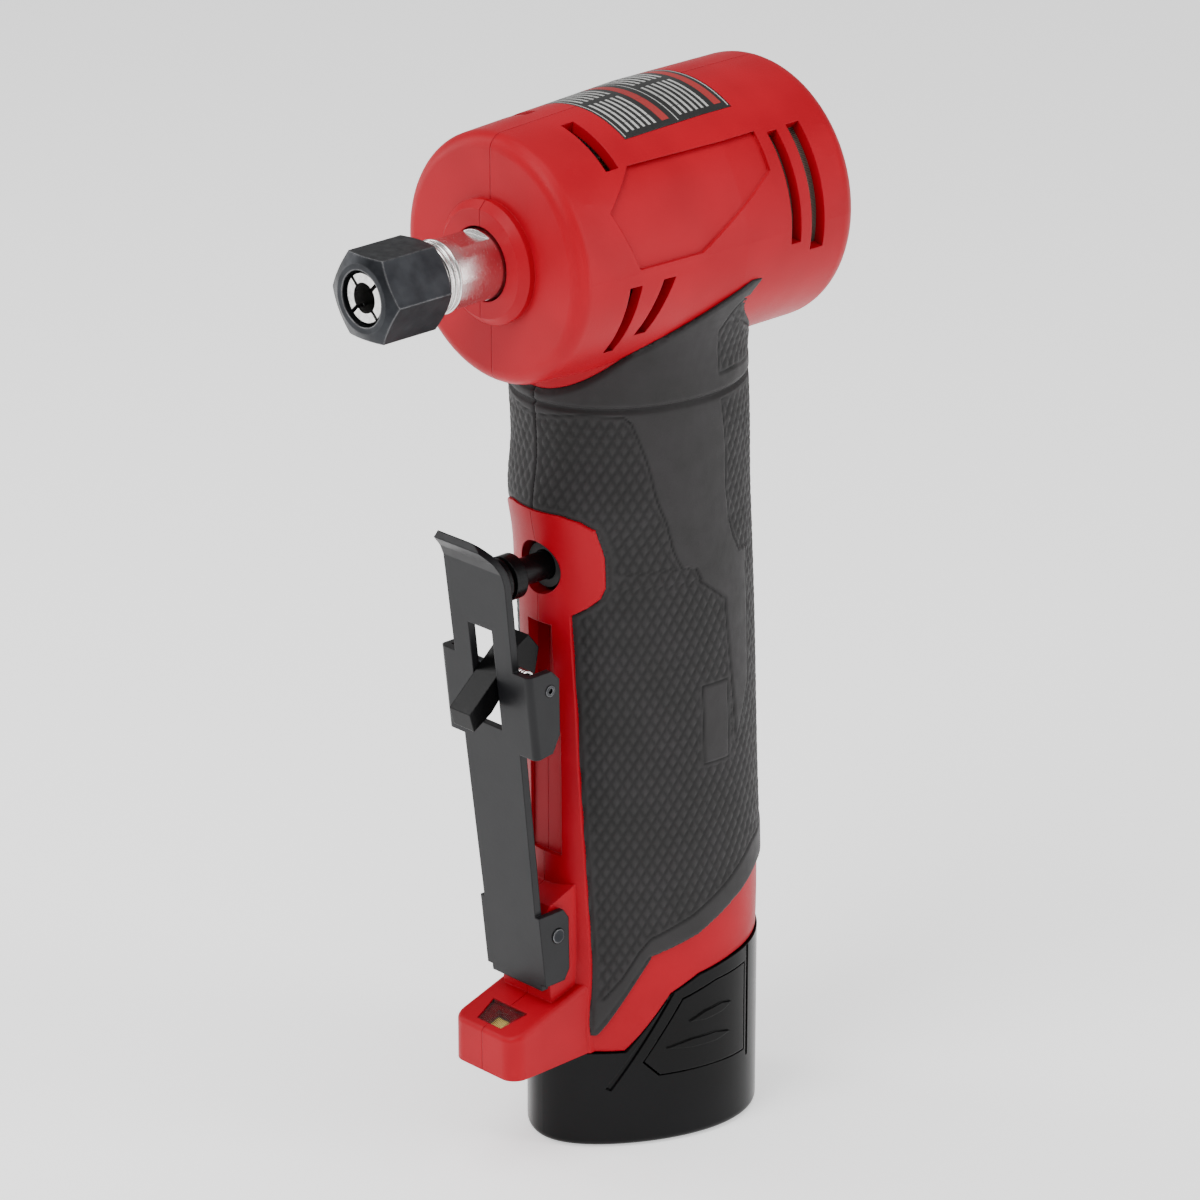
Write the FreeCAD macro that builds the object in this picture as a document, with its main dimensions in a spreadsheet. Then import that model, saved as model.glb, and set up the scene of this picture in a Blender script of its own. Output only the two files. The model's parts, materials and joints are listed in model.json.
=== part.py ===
"""Right-angle cordless die grinder, a parametric FreeCAD document (millimetres).

Frame: +Z up, origin on the surface under the battery, on the grip's centre line.
The spindle lies along Y and its collet points to -Y, as does the lever; +X is the right-hand side.
"""
import FreeCAD
import Part
import Sketcher

import math
import os
import re

from FreeCAD import Placement, Rotation, Vector

doc = FreeCAD.newDocument("DieGrinder")
sheet = doc.addObject("Spreadsheet::Sheet", "Sizes")

# ---------------------------------------------------------------- driving dimensions

DIMENSIONS = [
    # head: a drum about the spindle axis
    ("axis_z", 203.6, "height of the spindle axis"),
    ("head_front_y", -43.0, "front face of the head"),
    ("head_rear_y", 35.0, "rear face of the head"),
    ("head_front_radius", 26.4, "drum radius at the front"),
    ("head_rear_radius", 28.5, "drum radius from the middle back"),
    ("head_front_round", 3.2, "edge rounding at the front"),
    ("head_rear_round", 4.5, "edge rounding at the rear"),
    ("head_dome", 1.2, "how far the rear face bulges"),
    ("head_wall", 2.5, "wall of the head"),
    ("boss_radius", 13.1, "collar round the spindle hole"),
    ("boss_proud", 3.0, "how far that collar stands forward"),
    ("spindle_hole_radius", 7.9, "hole in the collar"),
    # grip skins
    ("rubber_thickness", 1.3, "soft grip over the shell"),
    ("shell_wall", 1.9, "shell under the soft grip"),
    ("collar_inset", 0.9, "bare shell lies this far inside the grip surface"),
    ("spine_proud", 0.5, "front spine stands proud of the grip surface"),
    # foot with the work lamp
    ("foot_bottom_z", 22.8, "underside of the foot"),
    ("foot_front_y", -47.3, "front face of the foot"),
    ("foot_half_width", 9.8, "half width of the foot"),
    ("foot_front_top_z", 32.6, "top of the foot's front face"),
    ("foot_slope", 16.9, "slope of the foot's top in degrees"),
    ("lug_gap", 0.75, "gap between the hinge lug and the lever"),
    ("lug_half_width", 7.4, "half width of the hinge lug"),
    ("lug_top_z", 59.5, "top of the hinge lug"),
    # spindle, collet and nut
    ("journal_radius", 5.0, "spindle in the front bearing"),
    ("tail_radius", 3.0, "spindle in the rear bearing"),
    ("spindle_radius", 7.4, "spindle outside the head"),
    ("spindle_flats", 12.7, "across the wrench flats"),
    ("thread_radius", 6.95, "nut thread on the spindle"),
    ("nut_front_y", -77.9, "front of the collet nut"),
    ("nut_length", 16.0, "length of the collet nut"),
    ("nut_across_flats", 17.4625, "11/16 inch hexagon"),
    ("collet_bore_radius", 3.175, "1/4 inch shank"),
    ("collet_outer_radius", 5.1, "collet at its mouth"),
    ("collet_length", 20.0, "length of the collet"),
    ("shank_depth", 34.0, "free depth of the shank bore"),
    # motor
    ("bearing_front_y", -39.3, "front bearing"),
    ("bearing_front_outer", 11.0, "front bearing outer radius"),
    ("bearing_front_width", 6.0, "front bearing width"),
    ("bearing_rear_y", 20.5, "rear bearing"),
    ("bearing_rear_outer", 8.0, "rear bearing outer radius"),
    ("bearing_rear_width", 5.0, "rear bearing width"),
    ("fan_y", -31.5, "front of the fan"),
    ("fan_depth", 7.5, "depth of the fan"),
    ("fan_radius", 20.5, "fan radius"),
    ("stator_y", -19.0, "front of the stator core"),
    ("stator_length", 25.0, "stator core length"),
    ("stator_outer", 21.5, "stator outer radius"),
    ("stator_inner", 11.6, "stator bore radius"),
    ("rotor_radius", 11.1, "rotor radius"),
    # lever
    ("pivot_y", -33.5, "lever pivot"),
    ("pivot_z", 53.05, "lever pivot"),
    ("lever_pin_radius", 1.6, "lever pin"),
    ("lever_thickness", 1.8, "lever sheet"),
    ("lever_bottom_z", 40.6, "lower end of the lever"),
    ("lever_top_z", 139.0, "where the lever starts to curl"),
    ("lever_slant", 0.1184, "forward lean, y per z"),
    ("lever_bottom_y", -36.9, "front of the lever at its lower end"),
    ("lever_top_half", 9.2, "half width at the top"),
    ("lever_bottom_half", 7.6, "half width of the sheet at the bottom"),
    ("lever_corner_radius", 9.2, "rounded upper corner of the lever"),
    ("flange_inner", 7.8, "inside of the lever's hinge flanges"),
    ("flange_outer", 9.1, "outside of the lever's hinge flanges"),
    ("ear_inner", 12.0, "inside of the lever's ears"),
    ("ear_outer", 13.6, "outside of the lever's ears"),
    ("window_half", 3.6, "half width of the lever's window"),
    ("window_bottom_z", 102.0, "window"),
    ("window_top_z", 125.0, "window"),
    # lock-off
    ("lock_y", -39.75, "lock-off pivot"),
    ("lock_z", 112.5, "lock-off pivot"),
    ("lock_half_width", 3.1, "half width of the lock-off"),
    ("lock_pin_radius", 1.25, "lock-off pin"),
    # switch
    ("plunger_z", 133.75, "plunger axis height"),
    ("plunger_front_y", -45.4, "plunger face against the lever"),
    ("plunger_radius", 3.0, "plunger rod"),
    ("plunger_head_radius", 4.9, "plunger head"),
    ("plunger_hole_radius", 5.9, "recess round the plunger"),
    ("switch_y", -15.0, "front of the switch"),
    # battery
    ("battery_half_width", 22.3, "battery outline"),
    ("battery_front_y", -29.7, "battery outline"),
    ("battery_rear_y", 24.9, "battery outline"),
    ("battery_taper", 0.25, "how much the outline narrows to the front"),
    ("battery_wall", 1.8, "battery case wall"),
    ("battery_foot_round", 1.6, "rounding under the battery"),
    ("stem_half_width", 19.2, "stem outline"),
    ("stem_front_y", -21.5, "stem outline"),
    ("stem_rear_y", 20.6, "stem outline"),
    ("stem_taper", 0.2, "stem outline"),
    ("stem_top_z", 72.0, "top of the stem"),
    ("cell_radius", 9.1, "18650 cell"),
    ("cell_length", 65.0, "18650 cell"),
    ("joint_gap", 0.35, "gap between battery and housing"),
]

# grip stations from the collar up: height, half width, front y, rear y, taper towards the front
STATIONS = {
    "base": (22.0, 22.7, -29.3, 25.2, 0.23),
    "collar": (40.0, 22.9, -28.9, 25.6, 0.20),
    "pommel": (57.0, 23.1, -28.6, 26.2, 0.17),
    "palm": (80.0, 23.2, -28.8, 25.3, 0.14),
    "waist": (103.0, 23.3, -29.2, 24.5, 0.12),
    "trigger": (125.0, 23.4, -30.2, 23.8, 0.09),
    "finger": (139.0, 23.4, -30.8, 23.2, 0.07),
    "guard": (148.0, 23.4, -32.3, 23.0, 0.06),
    "throat": (157.0, 23.4, -31.2, 22.8, 0.05),
    "neck": (168.0, 23.4, -31.5, 22.4, 0.04),
    "shoulder": (180.0, 23.5, -31.8, 22.6, 0.03),
    "flare": (188.0, 25.2, -32.0, 26.5, 0.0),
    "crown": (195.0, 28.3, -32.0, 32.0, 0.0),
}
STATION_COLUMNS = ("height", "half_width", "front", "rear", "taper")

for station, numbers in STATIONS.items():
    for column, number in zip(STATION_COLUMNS, numbers):
        DIMENSIONS.append((f"{station}_{column}", number, f"grip section at the {station}"))

for row, (alias, value, note) in enumerate(DIMENSIONS, start=1):
    sheet.set(f"A{row}", alias)
    sheet.set(f"B{row}", str(value))
    sheet.setAlias(f"B{row}", alias)
    sheet.set(f"C{row}", note)
doc.recompute()

SIZE = {alias: float(sheet.get(alias)) for alias, value, note in DIMENSIONS}
PARTS = {}


# ---------------------------------------------------------------- helpers for bound primitives

def formula(text):
    """A size, written with the sheet's aliases, as a FreeCAD expression."""
    def full_name(match):
        word = match.group(0)
        return "Sizes." + word if word in SIZE else word
    return re.sub(r"[a-z_]+[a-z_0-9]*", full_name, str(text))


def bind(item, **sizes):
    for name, text in sizes.items():
        item.setExpression(name, formula(text))


TURNS = {
    "X": Rotation(Vector(0, 1, 0), 90),
    "Y": Rotation(Vector(1, 0, 0), -90),
    "Z": Rotation(),
}


def place(item, at, turn):
    item.Placement = Placement(Vector(), turn)
    for letter, text in zip("xyz", at):
        item.setExpression("Placement.Base." + letter, formula(text))


def cylinder(radius, length, at, along="Y"):
    item = doc.addObject("Part::Cylinder", "Cylinder")
    bind(item, Radius=radius, Height=length)
    place(item, at, TURNS[along])
    return item


def cone(radius_start, radius_end, length, at, along="Y"):
    item = doc.addObject("Part::Cone", "Cone")
    bind(item, Radius1=radius_start, Radius2=radius_end, Height=length)
    place(item, at, TURNS[along])
    return item


def sphere(radius, at):
    item = doc.addObject("Part::Sphere", "Sphere")
    bind(item, Radius=radius)
    place(item, at, Rotation())
    return item


def box(length, width, height, at, turn=None):
    item = doc.addObject("Part::Box", "Box")
    bind(item, Length=length, Width=width, Height=height)
    place(item, at, turn or Rotation())
    return item


def hexagon(across_flats, length, at):
    """A hexagonal bar along Y."""
    item = doc.addObject("Part::Prism", "Hexagon")
    item.Polygon = 6
    bind(item, Circumradius=f"({across_flats}) / 2 / cos(30)", Height=length)
    place(item, at, TURNS["Y"])
    return item


def fuse(*items):
    joined = doc.addObject("Part::MultiFuse", "Fusion")
    joined.Shapes = list(items)
    joined.Refine = True
    return joined


def cut(base, *tools):
    result = doc.addObject("Part::Cut", "Cut")
    result.Base = base
    result.Tool = tools[0] if len(tools) == 1 else fuse(*tools)
    result.Refine = True
    return result


def common(*items):
    result = doc.addObject("Part::MultiCommon", "Common")
    result.Shapes = list(items)
    return result


def group(*items):
    """Separate solids that share one node."""
    result = doc.addObject("Part::Compound", "Group")
    result.Links = list(items)
    return result


def free_form(shape):
    item = doc.addObject("Part::Feature", "FreeForm")
    item.Shape = shape
    item.Placement = Placement()
    return item


def keep(name, item):
    item.Label = name
    PARTS[name] = item
    return item


# ---------------------------------------------------------------- helpers for sketched bodies

def new_body(name):
    body = doc.addObject("PartDesign::Body", "Body")
    keep(name, body)
    return body


def origin_plane(body, role):
    return next(f for f in body.Origin.OriginFeatures if f.Role == role)


def polygon_sketch(body, role, points):
    """A closed polygon whose corners are held by the sheet: (across, up) formulas on an origin plane."""
    sketch = body.newObject("Sketcher::SketchObject", "Sketch")
    sketch.AttachmentSupport = [(origin_plane(body, role), "")]
    sketch.MapMode = "FlatFace"
    numbers = [tuple(value_of(text) for text in point) for point in points]
    count = len(points)
    for i in range(count):
        start, end = numbers[i], numbers[(i + 1) % count]
        sketch.addGeometry(Part.LineSegment(Vector(*start, 0), Vector(*end, 0)), False)
    for i in range(count):
        sketch.addConstraint(Sketcher.Constraint("Coincident", i, 2, (i + 1) % count, 1))
    for i, point in enumerate(points):
        for kind, text, number in zip(("DistanceX", "DistanceY"), point, numbers[i]):
            index = sketch.addConstraint(Sketcher.Constraint(kind, -1, 1, i, 1, number))
            if not isinstance(text, (int, float)):
                sketch.setExpression(f"Constraints[{index}]", formula(text))
    return sketch


def circle_sketch(body, role, centre, radius):
    sketch = body.newObject("Sketcher::SketchObject", "Sketch")
    sketch.AttachmentSupport = [(origin_plane(body, role), "")]
    sketch.MapMode = "FlatFace"
    across, up = (value_of(text) for text in centre)
    sketch.addGeometry(Part.Circle(Vector(across, up, 0), Vector(0, 0, 1), value_of(radius)), False)
    constraints = (
        ("DistanceX", (-1, 1, 0, 3, across), centre[0]),
        ("DistanceY", (-1, 1, 0, 3, up), centre[1]),
        ("Radius", (0, value_of(radius)), radius),
    )
    for kind, arguments, text in constraints:
        index = sketch.addConstraint(Sketcher.Constraint(kind, *arguments))
        sketch.setExpression(f"Constraints[{index}]", formula(text))
    return sketch


def corner_sketch(body):
    """What lies outside the lever's one rounded upper corner, in front view."""
    radius = value_of("lever_corner_radius")
    half, top = value_of("lever_top_half"), value_of("lever_top_z + 5.6")
    sketch = body.newObject("Sketcher::SketchObject", "Sketch")
    sketch.AttachmentSupport = [(origin_plane(body, "XZ_Plane"), "")]
    sketch.MapMode = "FlatFace"
    middle = Vector(half - radius, top - radius, 0)
    sketch.addGeometry(Part.ArcOfCircle(Part.Circle(middle, Vector(0, 0, 1), radius), 0, math.pi / 2), False)
    foot, crown = middle + Vector(radius, 0, 0), middle + Vector(0, radius, 0)
    outside = [foot, foot + Vector(2, 0, 0), crown + Vector(radius + 2, 2, 0), crown + Vector(0, 2, 0), crown]
    for a, b in zip(outside, outside[1:]):
        sketch.addGeometry(Part.LineSegment(a, b), False)
    index = sketch.addConstraint(Sketcher.Constraint("Radius", 0, radius))
    sketch.setExpression(f"Constraints[{index}]", formula("lever_corner_radius"))
    return sketch


def value_of(text):
    """The number that a formula gives with the sheet's present values."""
    if isinstance(text, (int, float)):
        return float(text)
    scratch = doc.getObject("Scratch") or doc.addObject("App::FeaturePython", "Scratch")
    return float(scratch.evalExpression(formula(text)))


def pad(body, sketch, length):
    """Pads equally to both sides of the sketch."""
    feature = body.newObject("PartDesign::Pad", "Pad")
    feature.Profile = sketch
    feature.SideType = "Symmetric"
    bind(feature, Length=length)
    doc.recompute()
    return feature


def pocket(body, sketch, length):
    """Cuts equally to both sides of the sketch, and checks that something went."""
    before = body.Shape.Volume
    feature = body.newObject("PartDesign::Pocket", "Pocket")
    feature.Profile = sketch
    feature.SideType = "Symmetric"
    bind(feature, Length=length)
    doc.recompute()
    if body.Shape.Volume >= before - 0.01:
        raise RuntimeError(f"a pocket in {body.Label} removed nothing")
    return feature


def round_edges(body, radius, wanted):
    """Fillets the edges whose centre passes the test."""
    base = body.Tip
    names = [f"Edge{i}" for i, edge in enumerate(base.Shape.Edges, start=1) if wanted(edge)]
    feature = body.newObject("PartDesign::Fillet", "Fillet")
    feature.Base = (base, names)
    bind(feature, Radius=radius)
    doc.recompute()
    return feature


# ---------------------------------------------------------------- helpers for free-form shells

def egg(height, half_width, front, rear, taper, inset=0.0):
    """An oval wire about the Z direction, narrower towards -Y by its taper."""
    centre = (front + rear) / 2
    half_depth = (rear - front) / 2 - inset
    points = []
    count = 28
    for i in range(count):
        turn = 2 * math.pi * i / count
        across = (half_width - inset) * math.sin(turn) * (1 - taper * math.cos(turn))
        points.append(Vector(across, centre - half_depth * math.cos(turn), height))
    curve = Part.BSplineCurve()
    curve.interpolate(Points=points, PeriodicFlag=True)
    return Part.Wire([curve.toShape()])


def grip_hull(inset):
    """The handle from the collar into the head, its surface drawn in by the inset."""
    wires = []
    for station in STATIONS:
        numbers = [SIZE[f"{station}_{column}"] for column in STATION_COLUMNS]
        wires.append(egg(*numbers, inset=inset))
    return Part.makeLoft(wires, True, False)


def egg_prism(bottom, top, half_width, front, rear, taper, inset=0.0):
    face = Part.Face(egg(bottom, half_width, front, rear, taper, inset))
    return face.extrude(Vector(0, 0, top - bottom))


def head_drum(inset=0.0):
    """The head's drum, a profile turned about the spindle axis."""
    s = SIZE
    front, rear = s["head_front_y"] + inset, s["head_rear_y"] - inset
    front_radius, rear_radius = s["head_front_radius"] - inset, s["head_rear_radius"] - inset
    front_round = max(s["head_front_round"] - inset, 0.5)
    rear_round = max(s["head_rear_round"] - inset, 0.8)
    diagonal = 1 - math.sqrt(0.5)

    def at(radius, y):
        return Vector(radius, y, 0)

    widest_y = 2.0
    a, b = at(0, front), at(front_radius - front_round, front)
    c = at(front_radius - front_round * diagonal, front + front_round * diagonal)
    d, e = at(front_radius, front + front_round), at(rear_radius, widest_y)
    g = at(rear_radius, rear - rear_round)
    k = at(rear_radius - rear_round * diagonal, rear - rear_round * diagonal)
    m = at(rear_radius - rear_round, rear)
    n, p = at((rear_radius - rear_round) / 2, rear + s["head_dome"] * 0.75), at(0, rear + s["head_dome"])
    edges = [
        Part.makeLine(a, b),
        Part.Arc(b, c, d).toShape(),
        Part.makeLine(d, e),
        Part.makeLine(e, g),
        Part.Arc(g, k, m).toShape(),
        Part.Arc(m, n, p).toShape(),
        Part.makeLine(p, a),
    ]
    solid = Part.Face(Part.Wire(edges)).revolve(Vector(), Vector(0, 1, 0), 360)
    solid.translate(Vector(0, 0, s["axis_z"]))
    return solid


def side_prism(outline, x_from, x_to):
    """A prism along X over an outline of (y, z) points."""
    corners = [Vector(x_from, y, z) for y, z in outline]
    return Part.Face(Part.makePolygon(corners + corners[:1])).extrude(Vector(x_to - x_from, 0, 0))


def front_prism(outline, y_from, y_to):
    """A prism along Y over an outline of (x, z) points."""
    corners = [Vector(x, y_from, z) for x, z in outline]
    return Part.Face(Part.makePolygon(corners + corners[:1])).extrude(Vector(0, y_to - y_from, 0))


def ring_sector(y_from, y_to, inner, outer, angle_from, angle_to):
    """Part of a ring about the spindle axis; angles are degrees from +X towards +Z."""
    length = y_to - y_from
    span = angle_to - angle_from
    ring = Part.makeCylinder(outer, length, Vector(), Vector(0, 0, 1), span)
    ring = ring.cut(Part.makeCylinder(inner, length))
    ring.rotate(Vector(), Vector(0, 0, 1), angle_from)
    ring.rotate(Vector(), Vector(1, 0, 0), 90)
    ring.translate(Vector(0, y_to, SIZE["axis_z"]))
    return ring


def rod(radius, start, end):
    """A cylinder between two points."""
    span = Vector(*end) - Vector(*start)
    return Part.makeCylinder(radius, span.Length, Vector(*start), span)


def block(x, y, z):
    """A box from its (low, high) pairs."""
    return Part.makeBox(x[1] - x[0], y[1] - y[0], z[1] - z[0], Vector(x[0], y[0], z[0]))


def mirrored(shape):
    return shape.mirror(Vector(), Vector(1, 0, 0))


def only_solid(shape):
    solids = sorted(shape.Solids, key=lambda solid: solid.Volume)
    return solids[-1]


FAR = 80.0          # beyond the tool's outline in any direction


# ---------------------------------------------------------------- split lines of the grip

# lower edge of the shell in side view, from the foot back over the battery's shoulders
SHELL_EDGE = [(-FAR, 22.8), (-19.0, 22.8), (-10.2, 35.4), (-3.8, 38.8), (6.0, 40.8), (26.0, 43.6), (FAR, 50.0)]
# lower edge of the soft grip in side view
RUBBER_EDGE = [(-FAR, 27.0), (-24.2, 27.0), (-14.2, 44.8), (-4.2, 48.4), (3.8, 53.0), (14.6, 58.6), (26.0, 61.0),
               (FAR, 64.0)]
# upper edge of the soft grip in side view, over the neck and up the sides of the head
NECK_EDGE = [(-FAR, 171.0), (-31.5, 173.2), (-20.1, 183.8), (-8.0, 189.2), (9.0, 197.0), (12.0, 196.8),
             (28.0, 187.5), (FAR, 175.0)]
# bare front of the shell in front view: the spine and the patch round the plunger
SPINE_EDGE = [(10.3, 20.0), (9.9, 40.0), (9.0, 68.0), (8.1, 90.0), (7.7, 124.3), (10.6, 126.3), (12.8, 128.6),
              (13.6, 131.0), (13.7, 138.0), (12.9, 144.2), (10.4, 146.0), (6.8, 147.0)]
# rear window of the soft grip, round the mode panel
WINDOW = [(9.0, 83.0), (9.0, 99.0), (7.0, 101.0), (-7.0, 101.0), (-9.0, 99.0), (-9.0, 83.0), (-7.0, 81.0),
          (7.0, 81.0)]


def above(edge, gap=0.0):
    """All space above an edge line that runs front to back."""
    outline = [(y, z + gap) for y, z in edge] + [(FAR, 260.0), (-FAR, 260.0)]
    return side_prism(outline, -FAR, FAR)


def below(edge, gap=0.0):
    outline = [(y, z - gap) for y, z in edge] + [(FAR, -20.0), (-FAR, -20.0)]
    return side_prism(outline, -FAR, FAR)


def rubber_space():
    space = above(RUBBER_EDGE).common(below(NECK_EDGE))
    front = SPINE_EDGE + [(-x, z) for x, z in reversed(SPINE_EDGE)]
    space = space.cut(front_prism(front, -FAR, 0.0))
    return space.cut(front_prism(WINDOW, 0.0, FAR))


# ---------------------------------------------------------------- housing and soft grips

SCREWS = [(-36.1, 222.0), (29.3, 219.0), (15.5, 163.0), (-21.0, 160.5), (15.0, 112.0), (-28.5, 27.2)]


def bosses():
    """Screw bosses across the parting plane, kept inside the outer skin."""
    posts = [rod(3.0, (-FAR, y, z), (FAR, y, z)) for y, z in SCREWS]
    return posts[0].fuse(posts[1:])


def lug_front(z):
    """The lug's front face, a gap behind the lever sheet."""
    s = SIZE
    return s["lever_bottom_y"] - s["lever_slant"] * (z - s["lever_bottom_z"]) + s["lever_thickness"] + s["lug_gap"]


def foot_and_lug():
    """The lamp foot in front of the collar, and the lug that carries the lever's pin."""
    s = SIZE
    rise = math.tan(math.radians(s["foot_slope"]))
    front, bottom = s["foot_front_y"], s["foot_bottom_z"]
    back = -15.0
    slope_top = s["foot_front_top_z"] + rise * (back - front)
    foot = side_prism([(front, bottom), (front, s["foot_front_top_z"]), (back, slope_top), (back, bottom)],
                      -s["foot_half_width"], s["foot_half_width"])
    upright = [e for e in foot.Edges if abs(e.CenterOfMass.y - front) < 0.1 and e.Length < 12
               and abs(abs(e.CenterOfMass.x) - s["foot_half_width"]) < 0.1]
    foot = foot.makeFillet(3.6, upright)
    rim = [e for e in foot.Edges if e.CenterOfMass.z > s["foot_front_top_z"] - 0.5 and e.CenterOfMass.y < back - 1]
    foot = foot.makeFillet(1.3, rim)
    lug_low, lug_high = 34.0, s["lug_top_z"] - 2.5
    lug = side_prism([(back, bottom + 4), (lug_front(lug_low) + 1.0, bottom + 4), (lug_front(lug_low), lug_low),
                      (lug_front(lug_high), lug_high), (lug_front(lug_high) + 2.0, s["lug_top_z"]),
                      (-29.0, s["lug_top_z"] + 2.0), (back, s["lug_top_z"] + 8.0)],
                     -s["lug_half_width"], s["lug_half_width"])
    return foot.fuse(lug)


def vents():
    """Air slots through the right-hand side of the head."""
    z = SIZE["axis_z"]
    slots = [
        ring_sector(-28.4, -25.0, 24.0, 40.0, 47.0, 79.0),
        ring_sector(14.8, 17.6, 24.0, 40.0, -6.0, 43.0),
        ring_sector(20.6, 24.4, 24.0, 40.0, -11.0, 44.0),
        side_prism([(-29.6, z - 2.6), (-26.4, z - 2.6), (-28.6, z - 17.5), (-31.2, z - 17.5)], 15.0, FAR),
        side_prism([(-20.6, z - 2.6), (-17.4, z - 2.6), (-22.0, z - 14.5), (-25.0, z - 14.5)], 15.0, FAR),
    ]
    return slots


BADGE_DEPTH = 0.7


def badge_recess():
    """A shallow plain panel on each side of the head."""
    z = SIZE["axis_z"]
    outline = [(-22.9, z + 19.8), (11.8, z + 20.1), (11.4, z + 12.9), (-10.1, z + 0.8), (-27.0, z + 0.8),
               (-32.0, z + 12.9)]
    skin = head_drum(-1.0).cut(head_drum(BADGE_DEPTH))
    return skin.common(side_prism(outline, 5.0, FAR))


def housing_core():
    """The shell before it is split: skins, hollow, bearing seats, ribs and bosses, right side slots."""
    s = SIZE
    z = s["axis_z"]
    space = rubber_space()
    under_rubber = grip_hull(s["rubber_thickness"]).common(above(SHELL_EDGE))
    under_drum = block((-FAR, FAR), (-FAR, FAR), (0, 184.0))
    bare = grip_hull(s["collar_inset"]).common(above(SHELL_EDGE)).common(under_drum).cut(space)
    spine_outline = SPINE_EDGE + [(-x, height) for x, height in reversed(SPINE_EDGE)]
    spine = grip_hull(0.3 - s["spine_proud"]).common(front_prism(spine_outline, -FAR, -5.0))
    spine = spine.common(above(SHELL_EDGE))
    drum = head_drum()
    ring_boss = Part.makeCylinder(s["boss_radius"], s["boss_proud"] + 3.0,
                                  Vector(0, s["head_front_y"] - s["boss_proud"], z), Vector(0, 1, 0))
    ring_boss = ring_boss.makeChamfer(1.6, [e for e in ring_boss.Edges
                                            if abs(e.CenterOfMass.y - s["head_front_y"] + s["boss_proud"]) < 0.1
                                            and e.Length > 20])
    outer = under_rubber.fuse([bare, spine, drum, ring_boss, foot_and_lug()])

    inset = s["rubber_thickness"] + s["shell_wall"]
    hollow = grip_hull(inset).cut(block((-FAR, FAR), (-FAR, FAR), (192.0, 260.0)))
    head_hollow = head_drum(s["head_wall"])
    foot_hollow = block((-6.5, 6.5), (-44.0, -20.0), (25.0, 30.6))
    wall = outer.cut(hollow.fuse([head_hollow, foot_hollow]))

    # what stands inside the walls
    front_wall = Part.makeCylinder(FAR, 3.5, Vector(0, s["head_front_y"], z), Vector(0, 1, 0))
    seat_front = Part.makeCylinder(s["bearing_front_outer"] + 2.4, 9.5, Vector(0, s["head_front_y"], z),
                                   Vector(0, 1, 0))
    bearing_end = s["bearing_rear_y"] + s["bearing_rear_width"]
    seat_rear = Part.makeCylinder(s["bearing_rear_outer"] + 2.2, s["head_rear_y"] - s["bearing_rear_y"],
                                  Vector(0, s["bearing_rear_y"], z), Vector(0, 1, 0))
    ribs = [Part.makeCylinder(FAR, 2.0, Vector(0, y, z), Vector(0, 1, 0)).cut(
        Part.makeCylinder(s["stator_outer"] + 0.02, 2.0, Vector(0, y, z), Vector(0, 1, 0)))
        for y in (-15.5, 1.0)]
    ribs = [rib.common(head_hollow) for rib in ribs]
    inside = outer.common(front_wall.fuse([seat_front, seat_rear, bosses()]))
    shell = wall.fuse([inside] + ribs)

    # what passes through
    axis = Vector(0, 1, 0)
    holes = [
        Part.makeCylinder(s["spindle_hole_radius"], 6.7, Vector(0, s["head_front_y"] - 5.0, z), axis),
        Part.makeCylinder(s["bearing_front_outer"], 20.0, Vector(0, s["bearing_front_y"], z), axis),
        Part.makeCylinder(s["spindle_hole_radius"], 20.0, Vector(0, s["head_front_y"] - 5.0, z), axis),
        Part.makeCylinder(s["bearing_rear_outer"], s["bearing_rear_width"] + 2.0,
                          Vector(0, s["bearing_rear_y"] - 2.0, z), axis),
        Part.makeCylinder(s["bearing_rear_outer"] - 1.5, 5.0, Vector(0, bearing_end - 1.0, z), axis),
        Part.makeCylinder(s["plunger_hole_radius"], 12.0, Vector(0, -36.0, s["plunger_z"]), axis),
        rod(s["lever_pin_radius"], (-30, s["pivot_y"], s["pivot_z"]), (30, s["pivot_y"], s["pivot_z"])),
        egg_prism(18.0, s["stem_top_z"] + 2.0, s["stem_half_width"], s["stem_front_y"], s["stem_rear_y"],
                  s["stem_taper"], -s["joint_gap"]),
    ]
    holes += vents() + [badge_recess()]
    label_bed = ring_sector(-19.0, 10.8, s["head_front_radius"], 40.0, 59.0, 121.0).cut(head_drum(0.35))
    holes.append(label_bed)
    lamp_well = block((-2.6, 2.6), (-43.8, -38.8), (28.0, 32.6))
    channel = block((-4.6, 4.6), (-45.0, -27.6), (68.5, 97.0))
    finger_room = block((-3.5, 3.5), (-45.0, -27.2), (103.0, 121.5))
    holes += [lens_solid(2.0), lamp_well, channel, finger_room, mode_window()]
    return shell.cut(holes)


def lens_solid(proud=0.0):
    """The lamp lens, a tapered tile let into the sloping top of the foot, or its seat if made proud."""
    s = SIZE
    rise = math.tan(math.radians(s["foot_slope"]))
    depth = 2.0 + proud
    sunk = 0.15
    rear_y, front_y, rear_half, front_half = -38.9, -45.2, 5.3, 3.7
    top = [Vector(-rear_half, rear_y, 0), Vector(rear_half, rear_y, 0), Vector(front_half, front_y, 0),
           Vector(-front_half, front_y, 0)]
    for corner in top:
        corner.z = s["foot_front_top_z"] + rise * (corner.y - s["foot_front_y"]) - sunk
    down = Vector(0, rise, -1)
    tile = Part.Face(Part.makePolygon(top + top[:1])).extrude(down * depth)
    tile.translate(down * -proud)
    return tile


def mode_window():
    """Seat for the mode panel in the rear of the shell."""
    return block((-5.6, 5.6), (21.0, 40.0), (84.5, 98.5))


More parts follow.
